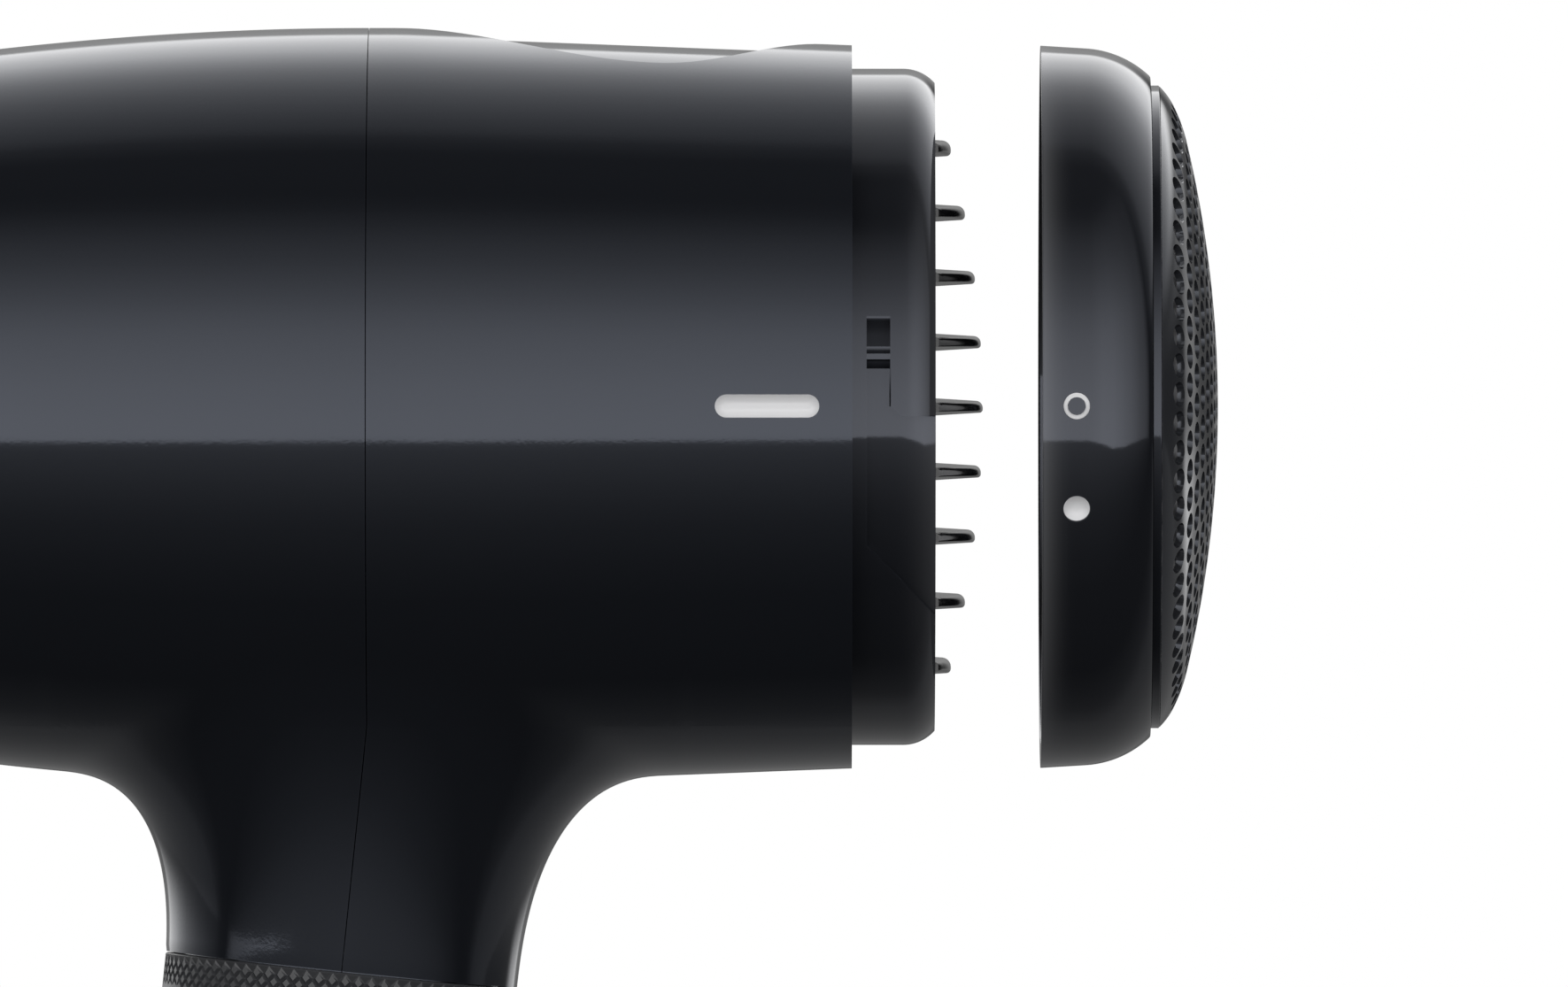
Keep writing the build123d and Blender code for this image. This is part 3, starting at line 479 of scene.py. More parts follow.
def off_seam(edge):
    """0 for the edges where the two halves meet, which stay crisp, and 1 for the rest."""
    for v in edge.verts:
        normal = below_bend if v.co.z < bend.z - 1e-4 else Vector((1, 0, 0))
        if abs((v.co - bend).dot(normal)) > 0.2 * MM:
            return 1.0
    return 0.0


def round_edges(piece, width, segments=2, angle=40, share=None):
    """Rounds the sharp edges, each by its share of the width."""
    rounding = piece.modifiers.new("edges", "BEVEL")
    rounding.width = width * MM
    rounding.segments = segments
    rounding.angle_limit = math.radians(angle)
    if share:
        rounding.limit_method = "WEIGHT"
        bm = bmesh.new()
        bm.from_mesh(piece.data)
        weight = bm.edges.layers.float.new("bevel_weight_edge")
        for e in bm.edges:
            if len(e.link_faces) == 2 and e.calc_face_angle() > math.radians(angle):
                e[weight] = share(e)
        bm.to_mesh(piece.data)
        bm.free()
    apply_modifiers(piece)


def turned(name, profile, segments=256):
    """A piece turned about the barrel's axis from the (x, radius) points of its closed section."""
    mesh = bpy.data.meshes.new(name)
    corners = [(x * MM, 0, r * MM) for x, r in profile]
    mesh.from_pydata(corners, [(n, (n + 1) % len(corners)) for n in range(len(corners))], [])
    piece = bpy.data.objects.new(name, mesh)
    bpy.context.scene.collection.objects.link(piece)
    select_only(piece)
    bpy.ops.object.mode_set(mode="EDIT")
    bpy.ops.mesh.select_all(action="SELECT")
    bpy.ops.mesh.spin(steps=segments, angle=math.tau, center=(0, 0, 0), axis=(1, 0, 0))
    bpy.ops.mesh.select_all(action="SELECT")
    bpy.ops.mesh.remove_doubles(threshold=1e-6)
    bpy.ops.mesh.dissolve_degenerate(threshold=1e-7)
    bpy.ops.mesh.select_all(action="SELECT")
    bpy.ops.mesh.normals_make_consistent(inside=False)
    bpy.ops.object.mode_set(mode="OBJECT")
    smooth(piece)
    return piece


def smooth(piece, angle=32):
    """Smooth shading with sharp edges, and flats that keep their own normals beside small roundings."""
    select_only(piece)
    bpy.ops.object.shade_smooth_by_angle(angle=math.radians(angle))
    weighting = piece.modifiers.new("flats", "WEIGHTED_NORMAL")
    weighting.keep_sharp = True
    weighting.weight = 50
    apply_modifiers(piece)


def corner_arc(before, corner, after, radius, count=4):
    """Points that round one corner of a section."""
    a = (Vector(before) - Vector(corner)).normalized()
    b = (Vector(after) - Vector(corner)).normalized()
    half = a.angle(b) / 2
    reach = radius / math.tan(half)
    centre = Vector(corner) + (a + b).normalized() * (radius / math.sin(half))
    start = Vector(corner) + a * reach - centre
    end = Vector(corner) + b * reach - centre
    turn = start.angle_signed(end)
    return [tuple(centre + Matrix.Rotation(-turn * n / count, 2) @ start) for n in range(count + 1)]


def rounded(corners):
    """The points of a section whose corners are (x, radius) or (x, radius, rounding)."""
    points = []
    for n, corner in enumerate(corners):
        if len(corner) == 2:
            points.append(corner)
        else:
            before, after = corners[n - 1][:2], corners[(n + 1) % len(corners)][:2]
            points += corner_arc(before, corner[:2], after, corner[2])
    return points


def tangent_arc(start, heading, end, count=12):
    """Points of the arc that leaves start along heading and ends at end."""
    start, end = Vector(start), Vector(end)
    heading = Vector(heading).normalized()
    normal = Vector((-heading.y, heading.x))
    chord = end - start
    radius = chord.length_squared / (2 * chord.dot(normal))
    centre = start + normal * radius
    turn = (start - centre).angle_signed(end - centre)
    arm = start - centre
    return [tuple(centre + Matrix.Rotation(-turn * n / count, 2) @ arm) for n in range(count + 1)]


def keep_gloss(piece, *skins):
    """Shades a cut piece as the uncut skins were, so that its cuts leave no mark in the gloss."""
    trees = [BVHTree.FromPolygons([v.co for v in skin.vertices], [p.vertices for p in skin.polygons])
             for skin in skins]
    smooth(piece, 35)
    mesh = piece.data
    normals = [normal.vector.copy() for normal in mesh.corner_normals]
    near, same_way, same_side = 4e-6, 0.98, 0.3

    def normal_at(skin, point, index):
        face = skin.polygons[index]
        shares = poly_3d_calc([skin.vertices[n].co for n in face.vertices], point)
        total = Vector((0, 0, 0))
        for share, loop in zip(shares, face.loop_indices):
            total += skin.corner_normals[loop].vector * share
        return total.normalized()

    for face in mesh.polygons:
        for skin, tree in zip(skins, trees):
            _, normal, index, _ = tree.find_nearest(face.center, near)
            on_skin = index is not None and abs(normal.dot(face.normal)) > same_way
            for loop in face.loop_indices:
                point = mesh.vertices[mesh.loops[loop].vertex_index].co
                if on_skin:
                    normals[loop] = normal_at(skin, point, index)
                    continue
                _, _, nearby, _ = tree.find_nearest(point, near)
                if nearby is not None:
                    shaded = normal_at(skin, point, nearby)
                    if shaded.dot(face.normal) > same_side:
                        normals[loop] = shaded
            if on_skin:
                break
    mesh.normals_split_custom_set(normals)


def new_finish(name):
    """A new material, its node tree and its surface node."""
    material = bpy.data.materials.new(name)
    material.use_nodes = True
    return material, material.node_tree, material.node_tree.nodes["Principled BSDF"]


def noise(tree, scale, detail):
    """Noise fixed to the piece, about a middle of 0.5."""
    node = add_node(tree, "TexNoise")
    node.inputs["Scale"].default_value = scale
    node.inputs["Detail"].default_value = detail
    tree.links.new(add_node(tree, "TexCoord").outputs["Object"], node.inputs["Vector"])
    return node.outputs[0]


def shared_finish():
    """A node group with what all the moulded pieces share: grain, faint smudges, and a painted highlight that
    pales the colour along the edges.
    """
    group = bpy.data.node_groups.new("moulded_finish", "ShaderNodeTree")
    for name, kind, way in (
        ("Color", "Color", "INPUT"), ("Edge Color", "Color", "INPUT"), ("Roughness", "Float", "INPUT"),
        ("Grain", "Float", "INPUT"), ("Color", "Color", "OUTPUT"), ("Roughness", "Float", "OUTPUT"),
        ("Normal", "Vector", "OUTPUT"),
    ):
        group.interface.new_socket(name, in_out=way, socket_type="NodeSocket" + kind)
    given = group.nodes.new("NodeGroupInput")
    result = group.nodes.new("NodeGroupOutput")
    smudges = maths(group, "MULTIPLY", maths(group, "SUBTRACT", noise(group, 38, 3), 0.5), 0.05)
    group.links.new(maths(group, "ADD", given.outputs["Roughness"], smudges), result.inputs["Roughness"])
    # Painted highlight: where the Bevel node's rounded normal bends away from the true normal, the colour is
    # mixed towards the paler edge colour.
    rounded_normal = add_node(group, "Bevel", samples=4)
    rounded_normal.inputs["Radius"].default_value = 0.35 * MM
    agreement = add_node(group, "VectorMath", operation="DOT_PRODUCT")
    group.links.new(rounded_normal.outputs[0], agreement.inputs[0])
    group.links.new(add_node(group, "NewGeometry").outputs["True Normal"], agreement.inputs[1])
    bent = maths(group, "SUBTRACT", 0.995, agreement.outputs["Value"])
    edge_highlight = maths(group, "MULTIPLY", bent, 6.0, clamp=True)
    colour = add_node(group, "Mix", data_type="RGBA")
    for socket, value in ((0, edge_highlight), (6, given.outputs["Color"]), (7, given.outputs["Edge Color"])):
        group.links.new(value, colour.inputs[socket])
    group.links.new(colour.outputs[2], result.inputs["Color"])
    grain = add_node(group, "Bump")
    grain.inputs["Distance"].default_value = 0.01 * MM
    group.links.new(noise(group, 2600, 2), grain.inputs["Height"])
    group.links.new(given.outputs["Grain"], grain.inputs["Strength"])
    group.links.new(grain.outputs[0], result.inputs["Normal"])
    return group


moulded_finish = shared_finish()


def plastic(name, colour, roughness, tint=(1, 1, 1), ior=1.5, edge=1.6, grain=0.1, rim=()):
    """A moulded plastic. Its edges are painted paler, to edge times its colour, as a painted highlight; rim
    gives (x, x, colour) where a painted sheen pales it towards one end.
    """
    material, tree, bsdf = new_finish(name)
    bsdf.inputs["IOR"].default_value = ior
    bsdf.inputs["Specular Tint"].default_value = (*tint, 1)
    shared = add_node(tree, "Group", node_tree=moulded_finish)
    shared.inputs["Color"].default_value = (*colour, 1)
    shared.inputs["Edge Color"].default_value = (*(edge * part for part in colour), 1)
    shared.inputs["Roughness"].default_value = roughness
    shared.inputs["Grain"].default_value = grain
    # The rim is a painted sheen: along x the colour is mixed towards a paler one at one end of the piece.
    if rim:
        plain_x, sheen_x, pale = rim
        x = add_node(tree, "SeparateXYZ")
        tree.links.new(add_node(tree, "TexCoord").outputs["Object"], x.inputs[0])
        share = add_node(tree, "MapRange")
        share.inputs["From Min"].default_value = plain_x * MM
        share.inputs["From Max"].default_value = sheen_x * MM
        tree.links.new(x.outputs[0], share.inputs["Value"])
        blended = add_node(tree, "Mix", data_type="RGBA")
        blended.inputs[6].default_value = (*colour, 1)
        blended.inputs[7].default_value = (*pale, 1)
        tree.links.new(maths(tree, "POWER", share.outputs[0], 2.8), blended.inputs[0])
        tree.links.new(blended.outputs[2], shared.inputs["Color"])
    for output, socket in (("Color", "Base Color"), ("Roughness", "Roughness"), ("Normal", "Normal")):
        tree.links.new(shared.outputs[output], bsdf.inputs[socket])
    return material


def dress(piece, material, body, slot, *nodes):
    """Gives a piece its finish, the body it moves with and the nodes it stands for, which it hides. The slot
    is not used.
    """
    piece.data.materials.clear()
    piece.data.materials.append(material)
    if nodes:
        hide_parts(*nodes)
    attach(piece, body)


def scoop_cutter():
    """The lens-shaped recess on top of the rear half, with an S-shaped ramp at each end of its floor."""
    x0, x1, depth, ramp_length, half_width = 109.5, 156.5, 1.0, 5.0, 15.5
    middle = x0 + 0.6 * (x1 - x0)
    rows_along, rows_across, above = 96, 24, 50
    bm = bmesh.new()
    loops = []
    for x in spaced(x0, x1, rows_along):
        t = (x - x0) / (middle - x0) if x < middle else (x1 - x) / (x1 - middle)
        width = max(0.05, half_width * math.sin(t * math.pi / 2) ** 0.9)
        rise = min(1.0, (x - x0) / ramp_length, (x1 - x) / ramp_length)
        r = barrel_radius(x) - depth * rise * rise * (3 - 2 * rise)
        side_to_side = spaced(-width, width, rows_across)
        loop = [(y, math.sqrt(r * r - y * y)) for y in side_to_side]
        loop += [(y, above) for y in side_to_side[::-1]]
        loops.append([bm.verts.new(Vector((x, y, z)) * MM) for y, z in loop])
    wall_between(bm, loops)
    bm.faces.new(loops[0])
    bm.faces.new(loops[-1])
    return new_piece("scoop_cutter", bm)


def arc(x, z, r, start, sweep, count):
    """Points of an arc round (x, z), in degrees."""
    turns = [math.radians(start + sweep * n / count) for n in range(count + 1)]
    return [(x + r * math.cos(turn), z + r * math.sin(turn)) for turn in turns]


def axes_at_handle(x, y, z):
    """The matrix that stands a piece's own axes along three directions, at the top of the handle's axis."""
    return Matrix.Translation(handle_top * MM) @ Matrix((x, y, z)).transposed().to_4x4()


handle_frame = axes_at_handle(forwards, (0, 1, 0), down)
pill_x0, pill_x1, pill_height, mark_depth = 144.3, 156.0, 2.6, 1.25
pill_r = pill_height / 2
pill = arc(pill_x1 - pill_r, 0, pill_r, -90, 180, 16) + arc(pill_x0 + pill_r, 0, pill_r, 90, 180, 16)
shell_finish = plastic("satin_graphite", (0.0085, 0.0095, 0.0120), 0.07, (0.90, 0.97, 1.15), edge=1.3,
                       grain=0.3)
for name, rear in (("front_shell", False), ("rear_shell", True)):
    piece = half_skin(name + "_skin", rear)
    thicken = piece.modifiers.new("wall", "SOLIDIFY")
    thicken.thickness = wall * MM
    thicken.offset = -1
    apply_modifiers(piece)
    smooth(piece, 35)
    clean = piece.data.copy()
    if rear:
        boolean(piece, scoop_cutter())
        boolean(piece, prism("pill_cutter", pill, along_y, -50, mark_depth - barrel_radius(150)))
    else:
        window = prism("window", box_outline(*core_window), along_z, core_window_s0, core_window_s1)
        window.data.transform(handle_frame)
        boolean(piece, window)
    round_edges(piece, 0.2, share=off_seam)
    keep_gloss(piece, clean)
    bpy.data.meshes.remove(clean)
    dress(piece, shell_finish, "housing", "shell", name)


# ---------------- Index mark
# A light grey inlay, pressed into a slot in the rear half: the filter cap's marks turn towards it.
mark_finish = plastic("light_grey_inlay", (0.70, 0.70, 0.71), 0.35, edge=1.0)
inlay_depth, inlay_lean = 1.0, 0.3


def inlay(name, outline, spine, radius_at, sunk, dish=0.0):
    """A mark pressed into a curved wall on the marked side. Its face follows the wall, dished towards
    its spine, the x range that its outline runs round, and leans back towards its lower edge."""
    tallest = max(z for _, z in outline)
    bm = bmesh.new()

    def loop(share, low, lean=inlay_lean):
        points = []
        for x, z in outline:
            end = min(max(x, spine[0]), spine[1])
            x, z = end + (x - end) * share, z * share
            r = radius_at(x) - low - lean * (1 - z / tallest) / 2
            points.append(bm.verts.new(Vector((x, -math.sqrt(r * r - z * z), z)) * MM))
        return points

    loops = [loop(1.0, inlay_depth, lean=0.0)]
    for share in (1.0, 0.97, 0.9, 0.75, 0.5, 0.25):
        loops.append(loop(share, sunk + dish * (1 - share**2)))
    wall_between(bm, loops)
    bm.faces.new(loops[-1])
    bm.faces.new(loops[0])
    piece = new_piece(name, bm)
    smooth(piece, 50)
    return piece


pill_spine = pill_x0 + pill_r, pill_x1 - pill_r
index_mark = inlay("index_mark_inlay", pill, pill_spine, barrel_radius, 0.04, 0.7)
dress(index_mark, mark_finish, "housing", "mark", "index_mark")


# ---------------- Bayonet collar
# A glossy black ring set into the rear of the barrel. Each side has a track for one lug of the filter
# cap: a wide mouth, a slot, and a deeper pocket with a small ridge that the lug clicks over.
collar_x0, collar_x1, louvre_x = 149.7, 169.05, 160.0
collar_r, collar_end_r, collar_bore_r, louvre_seat_r = 38.2, 36.6, 35.6, 34.5
round_x = 165.5               # where the collar's outside starts to close in
track_x0, track_x1, track_floor_r, mouth_r = 161.3, 163.95, 37.1, 35.95
pocket_z0, ridge_z0, ridge_z1, pocket_z1 = 4.25, 5.25, 5.88, 10.15
far = 60.0                    # past the outside of everything
# The collar's colour is painted paler towards its rear end: a painted sheen.
collar_finish = plastic("glossy_black_collar", (0.0098, 0.0106, 0.0130), 0.05, (0.92, 0.97, 1.12),
                        rim=(163.5, collar_x1, (0.042, 0.043, 0.047)))
profile = [(collar_x0, louvre_seat_r), (collar_x0, collar_r)]
profile += tangent_arc((round_x, collar_r), (1, 0), (collar_x1, collar_end_r))
profile += [(collar_x1, collar_bore_r), (louvre_x, collar_bore_r), (louvre_x, louvre_seat_r)]
collar = turned("bayonet_collar_ring", profile)
clean = collar.data.copy()


def track_floor():
    """The round floor that both tracks are cut down to. It closes in at their mouths."""
    section = [(140, 0.0), (140, track_floor_r)]
    section += tangent_arc((round_x - 0.5, track_floor_r), (1, 0), (collar_x1 + 0.4, mouth_r), 10)
    return turned("floor", section + [(190, mouth_r - 1.0), (190, 0.0)])


def track_tool():
    """The outline of one track, cut in from the side down to the floor."""
    step_z, step_x, mouth_x, mouth_z = -1.15, 165.15, 175, -29.4
    outline = [(track_x0, pocket_z0), (track_x1, pocket_z0), (track_x1, 0.0), (step_x, step_z),
               (mouth_x, step_z), (mouth_x, mouth_z), (track_x0, -15.6)]
    tool = prism("track", outline, along_y, -far, 0)
    boolean(tool, track_floor())
    return tool


overlap = 0.05
start_z, under_ridge = pocket_z0 - overlap, ridge_z0 - overlap
pocket_floor = [(-36.85, pocket_z1), (-36.15, 9.6), (-35.87, 8.0), (-35.69, 6.7), (-35.62, ridge_z1)]
for side in (0, 180):
    tools = [track_tool()]
    for outline in (
        [(-far, ridge_z1), (-far, pocket_z1)] + pocket_floor,
        [(-far, start_z), (-far, ridge_z0), (-36.5, ridge_z0), (-35.9, start_z)],
        box_outline(-far, -36.8, under_ridge, ridge_z1 + 0.02),
    ):
        tools.append(prism("pocket", outline, along_x, track_x0, track_x1))
    draft = [(track_x1 - 0.1, -36.9), (track_x1, -36.9), (track_x1 + 0.16, -40), (track_x1 - 0.1, -40)]
    tools.append(prism("draft", draft, along_z, -overlap, start_z))
    for tool in tools:
        tool.data.transform(Matrix.Rotation(math.radians(side), 4, "X"))
        boolean(collar, tool)
uncut_floor = track_floor()
keep_gloss(collar, clean, uncut_floor.data)
bpy.data.objects.remove(uncut_floor)
dress(collar, collar_finish, "housing", "collar", "bayonet_collar")


# ---------------- Intake louvre
# A moulded grid of nine level slats whose rear edges lie on a shallow dome, on a rim in the collar.
louvre_finish = plastic("black_louvre", (0.012, 0.012, 0.013), 0.10)
slat_count, slat_pitch, slat_root, slat_tip = 9, 7.3, 2.05, 1.35
slat_root_x, slat_end_x, slat_dome_r, slat_span_r = 168.8, 174.5, 120.0, 34.6
slat_draft_up, slat_draft_down = 0.58, 0.34
nose_round_up, nose_round_down = 0.62, 0.30
rib_y, rib_half, rib_x0, rib_x1, rib_span_r = 12.0, 0.6, 160.2, 163.4, 34.0


def slat(z):
    """One slat: its rear edge follows the dome, and it thins from its middle to its ends."""
    half = math.sqrt(slat_span_r**2 - z * z)
    bm = bmesh.new()
    count = 64
    sections = []
    for n in range(count + 1):
        y = -half * math.cos(math.pi * n / count)
        rear = slat_end_x - (slat_dome_r - math.sqrt(slat_dome_r**2 - y * y - z * z))
        share = (y * y + 4) ** 0.5 / half
        ends = []
        for x in (louvre_x, slat_root_x, rear):
            share_out = max(0.0, (x - slat_root_x) / (slat_end_x - slat_root_x))
            thickness = slat_root + (slat_tip - slat_root) * share_out
            ends.append((x, thickness / 2 - slat_draft_up * share, slat_draft_down * share - thickness / 2))
        (x0, top0, low0), (x1, top1, low1), (x2, top2, low2) = ends
        tall = min(top2 - low2, x2 - x1)
        outline = [(x0, top0), (x1, top1)]
        outline += corner_arc((x1, top1), (x2, top2), (x2, low2), nose_round_up * tall, 6)
        outline += corner_arc((x2, top2), (x2, low2), (x1, low1), nose_round_down * tall, 4)
        outline += [(x1, low1), (x0, low0)]
        sections.append([bm.verts.new(Vector((x, y, z + up)) * MM) for x, up in outline])
    wall_between(bm, sections)
    for end in (sections[0], sections[-1]):
        bm.faces.new(end)
    bmesh.ops.remove_doubles(bm, verts=bm.verts, dist=1e-7)
    piece = new_piece("slat", bm)
    smooth(piece, 40)
    return piece


def join(name, pieces):
    """Makes one piece of several solids."""
    select_only(pieces[0])
    for other in pieces[1:]:
        other.select_set(True)
    bpy.ops.object.join()
    pieces[0].name = name
    pieces[0].data.name = name
    return pieces[0]


louvre_parts = [turned("louvre_rim", rounded([
    (160.05, 33.2), (160.05, 35.55), (168.9, 35.55, 0.2), (168.9, 34.4, 0.4), (163.5, 34.4),
    (163.5, 33.2, 0.3),
]))]
louvre_parts += [slat(slat_pitch * (n - slat_count // 2)) for n in range(slat_count)]
for y in (-rib_y, rib_y):
    half = math.sqrt(rib_span_r**2 - y * y)
    rib = prism("rib", box_outline(rib_x0, rib_x1, y - rib_half, y + rib_half), along_z, -half, half)
    round_edges(rib, 0.2)
    louvre_parts.append(rib)
louvre = join("louvre_slats", louvre_parts)
dress(louvre, louvre_finish, "housing", "louvre", "intake_louvre")


# ---------------- Filter cap
# A glossy black ring with a soft shoulder, two inner lugs for the collar's tracks, and the open and the
# locked mark on its marked side. It is drawn pulled straight back, as it is held.
cap_x, cap_end_x = 181.0, 193.4
# The cap's colour is painted paler towards its open front edge: a painted highlight.
cap_finish = plastic("glossy_black_cap", (0.0098, 0.0106, 0.0130), 0.05, (0.92, 0.97, 1.12),
                     rim=(185.2, cap_x, (0.076, 0.077, 0.081)))
front_r, shoulder_r, cap_bore_r, bezel_seat_r, cap_face_x = 40.8, 40.65, 38.6, 34.6, 191.2
cap_side = tangent_arc((186.0, 40.5), (1, -0.05), (cap_end_x - 0.12, 37.3 + 0.12), 16)
profile = rounded([(cap_x, cap_bore_r, 0.15), (cap_x, front_r, 0.06), (183.5, shoulder_r)]) + cap_side
profile += [(cap_end_x, 37.25), (cap_end_x, bezel_seat_r), (cap_face_x, bezel_seat_r),
            (cap_face_x, cap_bore_r)]
cap = turned("filter_cap_shoulder_ring", profile)
clean = cap.data.copy()


def cap_radius(x):
    """Outer radius of the cap's ring at x."""
    outer = [(181.2, 40.79), (183.5, shoulder_r)] + cap_side
    for (x0, r0), (x1, r1) in zip(outer, outer[1:]):
        if x0 <= x <= x1:
            return r0 + (r1 - r0) * (x - x0) / (x1 - x0)
    return outer[-1][1]


mark_x, mark_r, mark_hole_r, mark_gap, lock_turn = 184.82, 1.5, 0.98, 0.02, 16.5
lug_x0, lug_x1, lug_half, lug_r0, lug_r1 = 182.55, 184.65, 1.725, 37.35, 38.9


def circle(x, z, r, count=40):
    """The corners of a circle round (x, z)."""
    turns = [math.tau * n / count for n in range(count)]
    return [(x + r * math.cos(turn), z + r * math.sin(turn)) for turn in turns]


def turned_by(piece, degrees):
    """Turns a piece round the barrel's axis, down the marked side."""
    piece.data.transform(Matrix.Rotation(math.radians(degrees), 4, "X"))
    return piece


for turn in (0.0, lock_turn):
    tool = prism("mark_cutter", circle(mark_x, 0, mark_r), along_y, -50, mark_depth - cap_radius(mark_x))
    if turn == 0.0:
        boolean(tool, prism("mark_core", circle(mark_x, 0, mark_hole_r), along_y, -51, -30))
    boolean(cap, turned_by(tool, turn))
for turn in (5.0, 185.0):
    lug = prism("lug", box_outline(lug_x0, lug_x1, -lug_half, lug_half), along_y, -lug_r1, -lug_r0)
    round_edges(lug, 0.25)
    boolean(cap, turned_by(lug, turn), "UNION")
round_edges(cap, 0.08)
keep_gloss(cap, clean)
dress(cap, cap_finish, "filter_cap", "cap", "filter_cap_ring")

mark_outline, mark_spine = circle(mark_x, 0, mark_r - mark_gap), (mark_x, mark_x)
dot = inlay("lock_mark_inlay", mark_outline, mark_spine, cap_radius, 0.03, 0.75)
dress(turned_by(dot, lock_turn), mark_finish, "filter_cap", "mark", "lock_mark")
ring_mark = inlay("unlock_mark_inlay", mark_outline, mark_spine, cap_radius, 0.03)
boolean(ring_mark, prism("ring_hole", circle(mark_x, 0, mark_hole_r + mark_gap), along_y, -50, -30))
smooth(ring_mark, 50)
dress(ring_mark, mark_finish, "filter_cap", "mark", "unlock_mark")


# ---------------- Mesh dome and bezel
# A domed metal sheet, punched with rings of round holes and finished satin graphite. Its edge turns
# down to a thin black bezel that holds it in the cap.
bezel = turned("mesh_bezel_ring", rounded([
    (193.45, 34.7), (193.45, 36.3, 0.05), (194.4, 36.3, 0.12), (194.4, 34.7)]))
dress(bezel, cap_finish, "filter_cap", "bezel", "mesh_bezel")

sheet_tip_x, sheet_r, sheet_wall, knee_r = 201.05, 129.0, 0.8, 30.0
turn_x, turn_r, turn_slope = 196.05, 34.0, math.radians(26.65)
ball_x = sheet_tip_x - sheet_r


def dome_x(r, inset=0.0):
    """Where the dome's sheet is at radius r, on its outside or an inset under it."""
    return ball_x + math.sqrt((sheet_r - inset) ** 2 - r * r)


def knee_heading(r):
    """The direction in which the dome's section leaves its big arc at radius r, outwards and down."""
    return -r, math.sqrt(sheet_r**2 - r**2)


rim_x1, rim_outer_r, rim_inner_r, inner_knee_r = 194.45, 36.2, 35.4, knee_r - 0.2
outer_side = [(dome_x(r), r) for r in spaced(0.5, knee_r, 24)]
outer_side += tangent_arc((dome_x(knee_r), knee_r), knee_heading(knee_r), (turn_x, turn_r), 8)[1:]
outer_side += tangent_arc((turn_x, turn_r), (-math.sin(turn_slope), math.cos(turn_slope)),
                          (rim_x1, rim_outer_r), 8)[1:]
inner_side = [(dome_x(r, sheet_wall), r) for r in spaced(0.5, inner_knee_r, 8)]
inner_side += tangent_arc((dome_x(inner_knee_r, sheet_wall), inner_knee_r), knee_heading(knee_r),
                          (rim_x1, rim_inner_r), 8)[1:]
profile = [(sheet_tip_x, 0.0)] + outer_side + inner_side[::-1] + [(sheet_tip_x - sheet_wall, 0.0)]
sheet = turned("mesh_dome_sheet", profile, 192)
clean = sheet.data.copy()
hole_r, hole_sides, ring_pitch, hole_pitch, ring_count = 1.42, 20, 3.69, 3.28, 9
punches = bmesh.new()
for i in range(ring_count + 1):
    r = ring_pitch * i
    count = max(1, round(math.tau * r / hole_pitch))
    for k in range(count):
        around = math.radians(i + 360 / count * k)
        middle = Vector((0, -r * math.cos(around), -r * math.sin(around)))
        ends = [
            [punches.verts.new((Vector((x, 0, 0)) + middle + Vector((0, *corner))) * MM)
             for corner in circle(0, 0, hole_r, hole_sides)]
            for x in (190, 205)
        ]
        wall_between(punches, ends)
        for end in ends:
            punches.faces.new(end)
punch = new_piece("punch", punches)
boolean(sheet, punch)
keep_gloss(sheet, clean)
mesh_finish = plastic("satin_graphite_enamel", (0.022, 0.023, 0.026), 0.09, (0.93, 0.98, 1.10), edge=1.2)
dress(sheet, mesh_finish, "filter_cap", "mesh", "cap_mesh_dome")


# ---------------- Grip sleeve
# A soft rubber sleeve pushed over the core of both shells, with flat-topped diamonds moulded all round
# it. Plain bands finish its ends and frame the opening for the switch panel.
sleeve_r, sleeve_bore_r = 19.97, 18.25
diamonds_round, diamond_rows = 84, 50
groove_depth, diamond_top, plain_band = 0.35, 0.27, 0.85
window_half, window_s0, window_s1 = 8.0, 68.0, 130.0
rubber_finish = plastic("soft_rubber", (0.030, 0.031, 0.034), 0.42, edge=1.5, grain=0.6)


def rectangle(x0, x1, z0, z1, radius, count=8):
    """The outline of a rectangle with round corners."""
    left, right, low, high = x0 + radius, x1 - radius, z0 + radius, z1 - radius
    points = []
    for x, z, start in ((right, high, 0), (left, high, 90), (left, low, 180), (right, low, 270)):
        points += arc(x, z, radius, start, 90, count)
    return points


def in_handle(piece):
    """Moves a piece that was made round the origin, front first and length down, into the handle."""
    piece.data.transform(handle_frame)
    return piece


